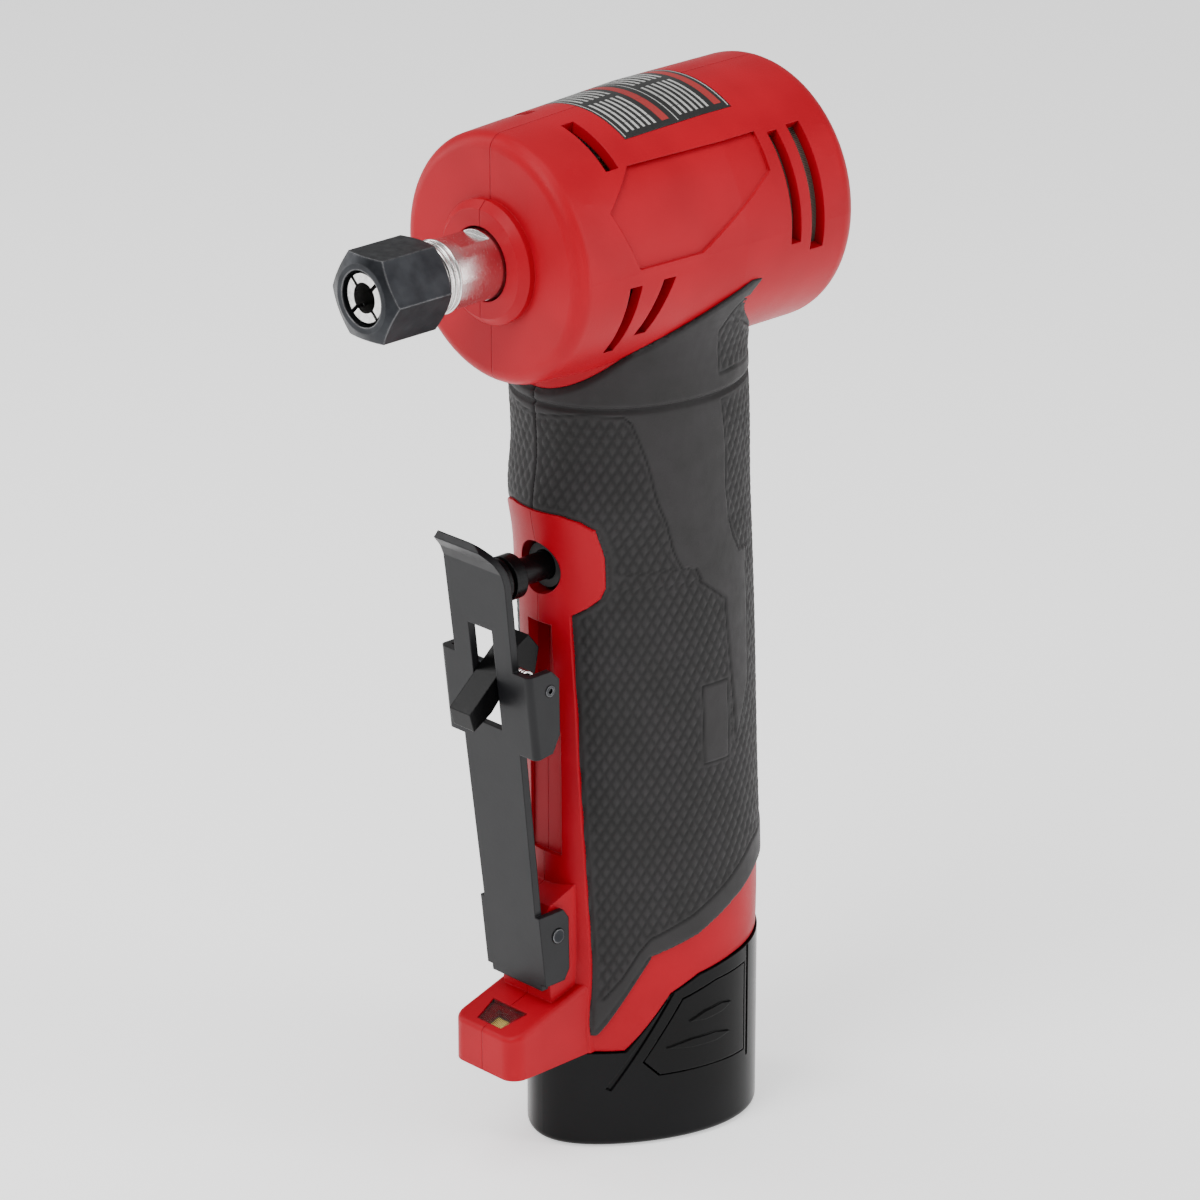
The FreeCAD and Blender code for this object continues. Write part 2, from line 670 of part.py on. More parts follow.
def make_housing():
    half = housing_core().common(block((PARTING_GAP, FAR), (-FAR, FAR), (0, 260)))
    shanks = [rod(1.4, (-FAR, y, z), (7.0, y, z)) for y, z in SCREWS]
    heads = [rod(2.6, (-FAR, y, z), (screw_seat_x(y, z), y, z)) for y, z in SCREWS]
    right = half.cut(shanks)
    left = mirrored(half).cut(shanks + heads)
    keep("housing_right", free_form(only_solid(right)))
    keep("housing_left", free_form(only_solid(left)))


def screw_seat_x(y, z):
    """Where a screw's head seats: deeper where the tool is narrow."""
    if z > 200:
        return -11.0
    if z < 40:
        return -6.2
    return -12.4 if y < -18 else -16.0


def make_grips():
    s = SIZE
    skin = grip_hull(0.0).cut(grip_hull(s["rubber_thickness"]))
    skin = skin.common(rubber_space()).cut(head_drum())
    skin = skin.cut([rod(2.9, (-FAR, y, z), (-10.0, y, z)) for y, z in SCREWS])
    groove = grip_hull(-1.0).cut(grip_hull(0.55)).common(block((-FAR, FAR), (-FAR, FAR), (170.2, 171.0)))
    skin = skin.cut(groove)
    right = skin.common(block((PARTING_GAP, FAR), (-FAR, FAR), (0, 260)))
    left = skin.common(block((-FAR, -PARTING_GAP), (-FAR, FAR), (0, 260)))
    keep("grip_right", free_form(only_solid(right)))
    keep("grip_left", free_form(only_solid(left)))


def make_screws():
    screws = []
    for y, z in SCREWS:
        seat = screw_seat_x(y, z)
        shank = cylinder(1.4, 6.5 - seat, (seat, y, z), "X")
        head = cylinder(2.5, 1.6, (seat - 1.6, y, z), "X")
        socket = cylinder(1.0, 1.0, (seat - 1.6, y, z), "X")
        screws.append(cut(fuse(shank, head), socket))
    keep("housing_screws", group(*screws))


# ---------------------------------------------------------------- spindle, collet and nut

COLLET_Y = "nut_front_y + 0.8"


def make_spindle():
    """One steel shaft from the collet socket to the rear bearing."""
    front = "nut_front_y + 4.4"
    shaft = fuse(
        cylinder("thread_radius", "bearing_front_y - 1.2 - (nut_front_y + 4.4)", (0, front, "axis_z")),
        cylinder("spindle_radius", "bearing_front_y - 1.2 - (nut_front_y + nut_length + 0.8)",
                 (0, "nut_front_y + nut_length + 0.8", "axis_z")),
        cylinder("journal_radius", "stator_y - bearing_front_y + 1", (0, "bearing_front_y - 2", "axis_z")),
        cylinder("tail_radius + 0.8", "stator_length + 3.5", (0, "stator_y - 1.5", "axis_z")),
        cylinder("tail_radius", "bearing_rear_y + bearing_rear_width - stator_y - 4",
                 (0, "stator_y + 4", "axis_z")),
    )
    socket = cone("collet_outer_radius + 0.12", "collet_bore_radius + 0.9", "collet_length - 3",
                  (0, front, "axis_z"))
    clearance = cylinder("collet_bore_radius + 0.95", "shank_depth - 4", (0, front, "axis_z"))
    flats = []
    for side in (-1, 1):
        offset = "spindle_flats / 2" if side > 0 else "-spindle_flats / 2 - 4"
        flats.append(box(20, 7.5, 4, (-10, "head_front_y - boss_proud - 8.5", f"axis_z + {offset}")))
    keep("spindle", cut(shaft, socket, clearance, *flats))


def make_collet():
    """A slotted cone sleeve with a rim that the nut draws."""
    rim = cylinder("collet_outer_radius", 2.4, (0, COLLET_Y, "axis_z"))
    neck = cylinder("collet_outer_radius - 0.7", 3.4, (0, f"{COLLET_Y} + 1", "axis_z"))
    taper = cone("collet_outer_radius", "collet_bore_radius + 0.8", "collet_length - 3.6",
                 (0, f"{COLLET_Y} + 3.6", "axis_z"))
    bore = cylinder("collet_bore_radius", "collet_length + 2", (0, f"{COLLET_Y} - 1", "axis_z"))
    slots = []
    for turn in (45, 135):
        blade = box(0.8, "collet_length * 0.72", 20, (0, COLLET_Y, "axis_z"))
        blade.Placement = Placement(Vector(), Rotation(Vector(0, 1, 0), turn))
        tilt = math.radians(turn)
        blade.setExpression("Placement.Base.x", str(-0.4 * math.cos(tilt) - 10 * math.sin(tilt)))
        blade.setExpression("Placement.Base.y", formula(f"{COLLET_Y} - 0.5"))
        blade.setExpression("Placement.Base.z", formula(f"axis_z + {0.4 * math.sin(tilt)} - {10 * math.cos(tilt)}"))
        slots.append(blade)
    keep("collet", cut(fuse(rim, neck, taper), bore, *slots))


def make_nut():
    """A hexagon nut with both ends turned to a cone."""
    hexagonal = hexagon("nut_across_flats", "nut_length", (0, "nut_front_y", "axis_z"))
    corner = "nut_across_flats / 2 / cos(30)"
    front_cone = cone(f"{corner} - 2.9", f"{corner} - 2.9 + nut_length / tan(24)", "nut_length",
                      (0, "nut_front_y", "axis_z"))
    rear_cone = cone(f"{corner} - 1.5 + nut_length / tan(30)", f"{corner} - 1.5", "nut_length",
                     (0, "nut_front_y", "axis_z"))
    blank = common(hexagonal, front_cone, rear_cone)
    mouth = cylinder("collet_outer_radius + 0.75", 3, (0, "nut_front_y - 1", "axis_z"))
    groove = cylinder("collet_outer_radius + 0.75", 5, (0, "nut_front_y", "axis_z"))
    thread = cylinder("thread_radius + 0.06", "nut_length", (0, "nut_front_y + 4.0", "axis_z"))
    keep("collet_nut", cut(blank, mouth, groove, thread))


# ---------------------------------------------------------------- motor

def make_bearing(name, y, bore, outer, width, balls):
    """A ball bearing: the outer race, and the inner race with its balls."""
    half = f"({outer} - {bore}) / 2"
    pitch = value_of(f"({outer} + {bore}) / 2")
    race = value_of(half) * 0.34
    ball = value_of(half) - race * 1.25
    ring = cut(cylinder(outer, width, (0, y, "axis_z")),
               cylinder(pitch + ball * 0.62, f"{width} + 2", (0, f"{y} - 1", "axis_z")))
    keep(name + "_outer_race", ring)
    inner = cut(cylinder(pitch - ball * 0.62, width, (0, y, "axis_z")),
                cylinder(bore, f"{width} + 2", (0, f"{y} - 1", "axis_z")))
    rolling = []
    for i in range(balls):
        turn = 2 * math.pi * i / balls
        rolling.append(sphere(ball * 0.56, (pitch * math.cos(turn), f"{y} + {width} / 2",
                                            f"axis_z + {pitch * math.sin(turn)}")))
    keep(name + "_inner_race", group(inner, *rolling))


def make_motor():
    stator_end = "stator_y + stator_length"
    bore = cylinder("stator_inner", "stator_length + 2", (0, "stator_y - 1", "axis_z"))
    blank = cylinder("stator_outer", "stator_length", (0, "stator_y", "axis_z"))
    slots = []
    coils = []
    count = 6
    for i in range(count):
        turn = 360 / count * (i + 0.5)
        angle = math.radians(turn)
        reach = value_of("(stator_inner + stator_outer) / 2")
        centre = (reach * math.cos(angle), reach * math.sin(angle))
        slots.append(cylinder(3.0, "stator_length + 2",
                              (centre[0], "stator_y - 1", f"axis_z + {centre[1]}")))
        tooth = math.radians(360 / count * i)
        middle = (reach * math.cos(tooth), reach * math.sin(tooth))
        for start in ("stator_y - 3.2", stator_end):
            coils.append(cylinder(4.2, 3.1, (middle[0], start, f"axis_z + {middle[1]}")))
    keep("stator_core", cut(blank, bore, *slots))
    keep("stator_windings", group(*coils))

    rotor = cut(cylinder("rotor_radius", "stator_length", (0, "stator_y", "axis_z")),
                cylinder("tail_radius + 0.8", "stator_length + 2", (0, "stator_y - 1", "axis_z")))
    magnets = []
    for i in range(4):
        angle = math.pi / 2 * i + math.pi / 4
        reach = 7.6
        item = box(1.6, "stator_length - 2", 8.0, (0, "stator_y + 1", "axis_z"))
        item.Placement = Placement(Vector(), Rotation(Vector(0, 1, 0), -math.degrees(angle)))
        across = Vector(reach * math.cos(angle), 0, reach * math.sin(angle))
        side = Vector(-math.sin(angle), 0, math.cos(angle)) * 4.0
        corner = across - side
        item.setExpression("Placement.Base.x", str(corner.x))
        item.setExpression("Placement.Base.y", formula("stator_y + 1"))
        item.setExpression("Placement.Base.z", formula(f"axis_z + {corner.z}"))
        magnets.append(item)
    keep("rotor_core", cut(rotor, *magnets))
    keep("rotor_magnets", group(*[doc.copyObject(item) for item in magnets]))

    hub = cylinder(8.5, "fan_depth", (0, "fan_y", "axis_z"))
    disc = cylinder("fan_radius", 1.2, (0, "fan_y + fan_depth - 1.2", "axis_z"))
    blades = []
    for i in range(11):
        angle = 360 / 11 * i
        item = box("fan_radius - 8.4", "fan_depth - 1", 1.0, (0, "fan_y", "axis_z"))
        item.Placement = Placement(Vector(), Rotation(Vector(0, 1, 0), -angle))
        across = Vector(math.cos(math.radians(angle)), 0, math.sin(math.radians(angle))) * 8.0
        item.setExpression("Placement.Base.x", str(across.x))
        item.setExpression("Placement.Base.y", formula("fan_y + 0.6"))
        item.setExpression("Placement.Base.z", formula(f"axis_z + {across.z}"))
        blades.append(item)
    bore = cylinder("journal_radius", "fan_depth + 2", (0, "fan_y - 1", "axis_z"))
    keep("cooling_fan", cut(fuse(hub, disc, *blades), bore))

    board = cut(cylinder(17.0, 1.4, (0, "stator_y + stator_length + 5", "axis_z")),
                cylinder(6.0, 4, (0, "stator_y + stator_length + 4", "axis_z")))
    keep("position_sensor_board", board)


def make_vent_screens():
    s = SIZE
    sheets = [ring_sector(12.8, 25.6, s["head_rear_radius"] - s["head_wall"] - 0.75,
                          s["head_rear_radius"] - s["head_wall"] - 0.05, start, end)
              for start, end in ((-16.0, 49.0), (131.0, 196.0))]
    keep("vent_screens", free_form(Part.makeCompound([only_solid(sheet) for sheet in sheets])))


def make_label():
    sector = ring_sector(-18.8, 10.6, SIZE["head_front_radius"] - 2, 40.0, 59.3, 120.7)
    skin = head_drum(0.02).cut(head_drum(0.34))
    keep("rating_label", free_form(only_solid(sector.common(skin))))


# ---------------------------------------------------------------- lever and lock-off

def lever_y(z, back=0.0):
    """Front of the lever sheet at a height, as a formula; back moves it rearward."""
    return f"lever_bottom_y - lever_slant * ({z} - lever_bottom_z) + {back}"


def make_lever():
    body = new_body("lever")
    thick = "lever_thickness"
    top, bottom = "lever_top_z", "lever_bottom_z"
    profile = [
        (lever_y(bottom), bottom),
        (lever_y(top), top),
        (f"{lever_y(top)} - 0.9", "lever_top_z + 2.2"),
        (f"{lever_y(top)} - 2.6", "lever_top_z + 4.4"),
        (f"{lever_y(top)} - 1.4", "lever_top_z + 5.6"),
        (f"{lever_y(top)} + 0.6", "lever_top_z + 3.0"),
        (f"{lever_y(top)} + {thick}", top),
        (f"{lever_y(bottom)} + {thick}", bottom),
    ]
    pad(body, polygon_sketch(body, "YZ_Plane", profile), "2 * lever_top_half")
    for side in (1, -1):
        flank = [
            (f"{side} * lever_top_half", top),
            (f"{side} * (lever_top_half + 3)", top),
            (f"{side} * (lever_top_half + 3)", "lever_bottom_z - 3"),
            (f"{side} * lever_bottom_half", "lever_bottom_z - 3"),
        ]
        pocket(body, polygon_sketch(body, "XZ_Plane", flank), 2 * FAR)
    pocket(body, corner_sketch(body), 2 * FAR)

    def folded_sides(rows, outer, inner):
        """Side walls folded back from the sheet between two heights."""
        pad(body, polygon_sketch(body, "YZ_Plane", rows), f"2 * {outer}")
        low, high = rows[0][1], rows[1][1]
        hollow = [
            (lever_y(f"({low} - 2)", "lever_thickness"), f"{low} - 2"),
            (lever_y(f"({high} + 2)", "lever_thickness"), f"{high} + 2"),
            ("-20", f"{high} + 2"),
            ("-20", f"{low} - 2"),
        ]
        pocket(body, polygon_sketch(body, "YZ_Plane", hollow), f"2 * {inner}")

    folded_sides([
        (lever_y("42.0"), "42.0"),
        (lever_y("58.6"), "58.6"),
        ("-31.9", "58.6"),
        ("-30.4", "56.4"),
        ("-30.2", "44.4"),
        ("-31.6", "42.0"),
    ], "flange_outer", "flange_inner")
    folded_sides([
        (lever_y("97.6"), "97.6"),
        (lever_y("116.8"), "116.8"),
        ("-39.4", "116.8"),
        ("-37.2", "114.6"),
        ("-37.0", "102.0"),
        ("-39.0", "98.2"),
    ], "ear_outer", "ear_inner")
    round_edges(body, 1.4, lambda e: abs(abs(e.CenterOfMass.x) - SIZE["ear_outer"]) < 0.05
                and e.CenterOfMass.y < -43.0 and e.Length > 15)
    window = [("-window_half", "window_bottom_z"), ("window_half", "window_bottom_z"),
              ("window_half", "window_top_z"), ("-window_half", "window_top_z")]
    pocket(body, polygon_sketch(body, "XZ_Plane", window), 2 * FAR)
    pocket(body, circle_sketch(body, "YZ_Plane", ("pivot_y", "pivot_z"), "lever_pin_radius + 0.05"), 2 * FAR)
    pocket(body, circle_sketch(body, "YZ_Plane", ("lock_y", "lock_z"), "lock_pin_radius"), 2 * FAR)


def make_pins():
    keep("lever_pin", cylinder("lever_pin_radius", "2 * flange_outer + 0.6",
                               ("-flange_outer - 0.3", "pivot_y", "pivot_z"), "X"))
    pin = cylinder("lock_pin_radius", "2 * ear_outer + 0.4", ("-ear_outer - 0.2", "lock_y", "lock_z"), "X")
    dimple = cylinder("lock_pin_radius * 0.5", 1.0, ("ear_outer - 0.7", "lock_y", "lock_z"), "X")
    keep("lock_off_pin", cut(pin, dimple))


def make_lock_off():
    """A bent finger that reaches through the lever's window and blocks the lever against the spine."""
    body = new_body("lock_off_lever")
    profile = [
        ("-52.8", "107.6"),
        ("-51.6", "103.6"),
        ("-46.6", "106.4"),
        ("-43.6", "109.6"),
        ("lock_y - 1.4", "lock_z - 3.4"),
        ("lock_y + 2.4", "lock_z - 3.0"),
        ("-34.2", "112.0"),
        ("-33.1", "117.4"),
        ("-36.0", "121.0"),
        ("-39.0", "119.4"),
    ]
    pad(body, polygon_sketch(body, "YZ_Plane", profile), "2 * lock_half_width")
    pocket(body, circle_sketch(body, "YZ_Plane", ("lock_y", "lock_z"), "lock_pin_radius + 0.05"), 2 * FAR)


def make_lock_spring():
    """Torsion spring: close turns round the lock-off pin beside the finger, and one leg."""
    wire = 0.35
    radius = 2.0
    turns = 4
    start = SIZE["lock_half_width"] + 0.8
    y, z = SIZE["lock_y"], SIZE["lock_z"]
    rings = []
    for i in range(turns):
        ring = Part.makeTorus(radius, wire, Vector(start + i * 2.1 * wire, y, z), Vector(1, 0, 0))
        rings.append(ring)
    leg_x = start + (turns - 0.5) * 2.1 * wire + wire
    rings.append(rod(wire, (leg_x, y - radius, z - 4.5), (leg_x, y - radius, z + 0.5)))
    keep("lock_off_spring", free_form(Part.makeCompound(rings)))


# ---------------------------------------------------------------- switch and electronics

def make_switch():
    z = "plunger_z"
    rod_part = cylinder("plunger_radius", "-8.5 - plunger_front_y - 4", (0, "plunger_front_y + 2", z))
    head = [
        cylinder("plunger_head_radius", 3.8, (0, "plunger_front_y", z)),
        cylinder("plunger_head_radius - 1.3", 2.4, (0, "plunger_front_y + 3", z)),
        cylinder("plunger_head_radius", 3.0, (0, "plunger_front_y + 4.8", z)),
        cone("plunger_radius + 0.9", "plunger_radius", 0.9, (0, "plunger_front_y + 7.8", z)),
    ]
    wedge = box(20, 4, 20, (-10, "plunger_front_y - 4", "plunger_z - 10"))
    keep("switch_plunger", cut(fuse(rod_part, *head), wedge))

    cup = cylinder("plunger_hole_radius - 0.05", 2.0, (0, -26.0, z))
    cuff = cone("plunger_radius + 1.9", "plunger_radius + 2.4", 2.6, (0, -28.4, z))
    boot_bore = cylinder("plunger_radius + 0.3", 8, (0, -30, z))
    keep("plunger_boot", cut(fuse(cup, cuff), boot_bore))

    case = box(15, 21, 27, (-7.5, "switch_y", "plunger_z - 14"))
    travel_hole = cylinder("plunger_radius + 0.3", 16, (0, "switch_y - 1", z))
    keep("trigger_switch", cut(case, travel_hole))
    tabs = [box(0.8, 4.5, 5.0, (x, -10 + i * 7, "plunger_z - 19")) for i, x in enumerate((-5, -5, 4.2))]
    keep("switch_terminals", group(*tabs))


def make_electronics():
    board = box(28, 1.6, 24, (-14, 13.2, 80.5))
    keep("control_board", board)
    chips = [box(6.0, 2.2, 8.0, (-12.5 + 6.6 * i, 11.0, 92.5)) for i in range(4)]
    can = cylinder(3.4, 12.0, (-6, 6.6, 84.5), "X")
    keep("power_transistors", group(*chips))
    keep("bus_capacitor", can)

    seat = egg_prism(SIZE["stem_top_z"] + 2.4, SIZE["stem_top_z"] + 6.4, 19.0, -22.0, 12.0, 0.2)
    blades = [block((x - 0.4, x + 0.4), (-13.0, -7.0), (SIZE["stem_top_z"] - 2.2, SIZE["stem_top_z"] + 4.0))
              for x in (-6.0, 0.0, 6.0)]
    keep("terminal_block", free_form(seat.fuse(blades).removeSplitter()))

    wires = []
    for i in range(3):
        x = -5.0 + 5.0 * i
        wires.append(rod(1.0, (x, 10.8, 185.0), (x, 10.8, 101.5)))
    keep("motor_wires", free_form(Part.makeCompound(wires)))
    lamp_wires = [rod(0.7, (x, -23.7, 31.5), (x, -23.7, 78.0)) for x in (-1.6, 1.6)]
    keep("lamp_wires", free_form(Part.makeCompound(lamp_wires)))


def make_lamp():
    keep("lamp_lens", free_form(lens_solid()))
    slope = Rotation(Vector(1, 0, 0), SIZE["foot_slope"])
    board = box(11, 7.5, 1.0, (-5.5, -44.0, 27.6))
    keep("lamp_board", board)
    chip = box(3.2, 3.2, 1.2, (-1.6, -42.8, 29.0))
    chip.Placement.Rotation = slope
    keep("lamp_diode", chip)


def make_mode_panel():
    plate = grip_hull(0.9).common(block((-5.4, 5.4), (21.6, 40.0), (84.7, 98.3)))
    hole = block((-3.4, 3.4), (0, 60), (86.2, 91.8))
    keep("mode_panel", free_form(only_solid(plate.cut(hole))))
    button = grip_hull(0.5).common(block((-3.1, 3.1), (22.4, 40.0), (86.5, 91.5)))
    keep("mode_button", free_form(only_solid(button)))


# ---------------------------------------------------------------- battery

LATCH = [(-7.6, 33.4), (-15.6, 20.0), (-12.5, 16.5), (9.2, 16.5), (9.2, 37.2), (0.0, 36.0)]


RIBS = [((-6.4, 28.0), (4.6, 29.9)), ((-11.4, 22.6), (4.2, 23.0))]


def blade(start, end, thickness):
    """A slim outline with pointed ends between two (y, z) points."""
    (y0, z0), (y1, z1) = start, end
    spine = [(y0 + share * (y1 - y0), z0 + share * (z1 - z0)) for share in (0.35, 0.75)]
    half = thickness / 2
    return [start] + [(y, z + half) for y, z in spine] + [end] + [(y, z - half) for y, z in reversed(spine)]


def battery_egg(bottom, top, inset=0.0):
    s = SIZE
    return egg_prism(bottom, top, s["battery_half_width"], s["battery_front_y"], s["battery_rear_y"],
                     s["battery_taper"], inset)


def stem_egg(bottom, top, inset=0.0):
    s = SIZE
    return egg_prism(bottom, top, s["stem_half_width"], s["stem_front_y"], s["stem_rear_y"], s["stem_taper"], inset)


def grown(outline, gap):
    """An outline moved outwards from its middle by about the gap."""
    y_mid = sum(y for y, z in outline) / len(outline)
    z_mid = sum(z for y, z in outline) / len(outline)
    moved = []
    for y, z in outline:
        reach = math.hypot(y - y_mid, z - z_mid)
        moved.append((y + gap * (y - y_mid) / reach, z + gap * (z - z_mid) / reach))
    return moved


PARTING_GAP = 0.05
BATTERY_SCREWS = [(-13.0, 14.0), (13.0, 14.0), (-9.0, -16.5), (9.0, -16.5)]
CELLS = [(-9.25, 5.8), (9.25, 5.8), (0.0, -10.3)]


def make_battery():
    s = SIZE
    wall = s["battery_wall"]
    outer = battery_egg(0.0, 60.0)
    foot = [e for e in outer.Edges if abs(e.CenterOfMass.z) < 0.01]
    outer = outer.makeFillet(s["battery_foot_round"], foot).common(below(SHELL_EDGE, s["joint_gap"]))
    room = battery_egg(2.2, 60.0, wall).common(below(SHELL_EDGE, s["joint_gap"] + wall))
    seats = [Part.makeCylinder(2.05, 2.8, Vector(x, y, -1.0)) for x, y in BATTERY_SCREWS]
    shell = outer.cut([room, stem_egg(15.0, 60.0, -0.02)] + seats)
    windows = side_prism(grown(LATCH, 0.45), 12.0, FAR)
    grooves = []
    slant = side_prism([(-10.6, 34.6), (-9.4, 35.6), (-21.6, 13.4), (-22.6, 14.0)], 2.0, FAR)
    for tool in (slant, side_prism([(10.2, 14.5), (11.0, 14.5), (11.0, 41.0), (10.2, 41.0)], 2.0, FAR)):
        grooves.append(tool.cut(battery_egg(-1.0, 61.0, 0.6)))
    tools = [windows] + grooves
    shell = shell.cut(tools + [mirrored(tool) for tool in tools])
    keep("battery_base", free_form(only_solid(shell)))

    sleeve = stem_egg(15.5, s["stem_top_z"])
    bores = [Part.makeCylinder(s["cell_radius"] + 0.1, s["cell_length"] + 3.2, Vector(x, y, 2.0))
             for x, y in CELLS]
    slots = [block((x - 1.7, x + 1.7), (-13.8, -6.2), (60.0, 80.0)) for x in (-6.0, 0.0, 6.0)]
    sleeve = sleeve.cut(bores + slots)
    keep("battery_stem", free_form(only_solid(sleeve)))

    cells = []
    for x, y in CELLS:
        can = cylinder("cell_radius", "cell_length - 1.2", (x, y, 2.5), "Z")
        cap = cylinder(3.0, 1.0, (x, y, "2.5 + cell_length - 1.2"), "Z")
        cells.append(fuse(can, cap))
    keep("battery_cells", group(*cells))

    clips = []
    for x in (-6.0, 0.0, 6.0):
        outside = box(3.2, 7.2, 1.8, (x - 1.6, -13.6, "stem_top_z - 2.4"))
        inside = box(1.4, 9, 5, (x - 0.7, -14.5, "stem_top_z - 3"))
        clips.append(cut(outside, inside))
    keep("battery_contacts", group(*clips))

    screws = []
    for x, y in BATTERY_SCREWS:
        head = cylinder(2.0, 1.2, (x, y, 0.6), "Z")
        socket = cylinder(0.9, 0.8, (x, y, 0.6), "Z")
        screws.append(cut(head, socket))
    keep("battery_screws", group(*screws))


def make_latches():
    wall = SIZE["battery_wall"]
    skin = battery_egg(-1.0, 60.0).cut(battery_egg(-2.0, 61.0, wall - 0.3))
    right = skin.common(side_prism(LATCH, 12.0, FAR))
    raised = battery_egg(0.0, 60.0, -0.45).cut(battery_egg(-1.0, 61.0, 0.6))
    ribs = [side_prism(blade(start, end, 1.9), 12.0, FAR).common(raised) for start, end in RIBS]
    right = only_solid(right.fuse(ribs))
    keep("battery_latch_right", free_form(right))
    keep("battery_latch_left", free_form(mirrored(right)))


# ---------------------------------------------------------------- build, check and write

make_housing()
make_grips()
make_screws()
make_spindle()
make_collet()
make_nut()
make_bearing("front_bearing", "bearing_front_y", "journal_radius", "bearing_front_outer",
             "bearing_front_width", 9)
make_bearing("rear_bearing", "bearing_rear_y", "tail_radius", "bearing_rear_outer", "bearing_rear_width", 7)
make_motor()
make_vent_screens()
make_label()
make_lever()
make_pins()
make_lock_off()
make_lock_spring()
make_switch()
make_electronics()
make_lamp()
make_mode_panel()
make_battery()
make_latches()
doc.recompute()

for item in doc.Objects:
    if "Invalid" in item.State or "Error" in item.State:
        raise RuntimeError(f"{item.Label} did not compute: {item.State}")
for name, item in PARTS.items():
    if item.Shape.isNull() or not item.Shape.isValid() or not item.Shape.Solids:
        raise RuntimeError(f"{name} has no valid solid")

os.makedirs("parts", exist_ok=True)
for name, item in PARTS.items():
    item.Shape.exportStep(f"parts/{name}.step")
    bounds = item.Shape.BoundBox
    print(f"{name:24s} solids {len(item.Shape.Solids)}  x {bounds.XMin:7.2f} {bounds.XMax:7.2f}"
          f"  y {bounds.YMin:7.2f} {bounds.YMax:7.2f}  z {bounds.ZMin:7.2f} {bounds.ZMax:7.2f}")
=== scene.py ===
"""Looks of a cordless right-angle die grinder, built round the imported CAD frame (metres)."""

import json
import math

import bmesh
import bpy
import numpy as np
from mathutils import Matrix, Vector
from mathutils.bvhtree import BVHTree
from mathutils.kdtree import KDTree


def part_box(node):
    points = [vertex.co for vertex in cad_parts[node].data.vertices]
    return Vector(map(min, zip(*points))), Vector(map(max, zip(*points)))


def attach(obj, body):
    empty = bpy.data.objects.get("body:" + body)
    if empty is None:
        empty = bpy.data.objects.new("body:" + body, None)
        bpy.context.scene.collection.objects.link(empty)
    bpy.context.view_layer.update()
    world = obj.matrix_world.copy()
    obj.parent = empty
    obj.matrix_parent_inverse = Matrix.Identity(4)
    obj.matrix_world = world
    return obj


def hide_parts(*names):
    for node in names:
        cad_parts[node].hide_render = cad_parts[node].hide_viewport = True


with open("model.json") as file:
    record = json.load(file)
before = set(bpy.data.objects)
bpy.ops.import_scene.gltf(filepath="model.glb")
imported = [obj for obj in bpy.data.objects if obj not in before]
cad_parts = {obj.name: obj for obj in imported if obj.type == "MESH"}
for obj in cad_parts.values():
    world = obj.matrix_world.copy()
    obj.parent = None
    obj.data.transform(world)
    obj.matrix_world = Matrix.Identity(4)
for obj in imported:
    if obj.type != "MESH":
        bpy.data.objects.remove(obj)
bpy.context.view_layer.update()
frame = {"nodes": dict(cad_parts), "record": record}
NODES = frame["nodes"]
MM = 0.001


# ---------------------------------------------------------------- materials

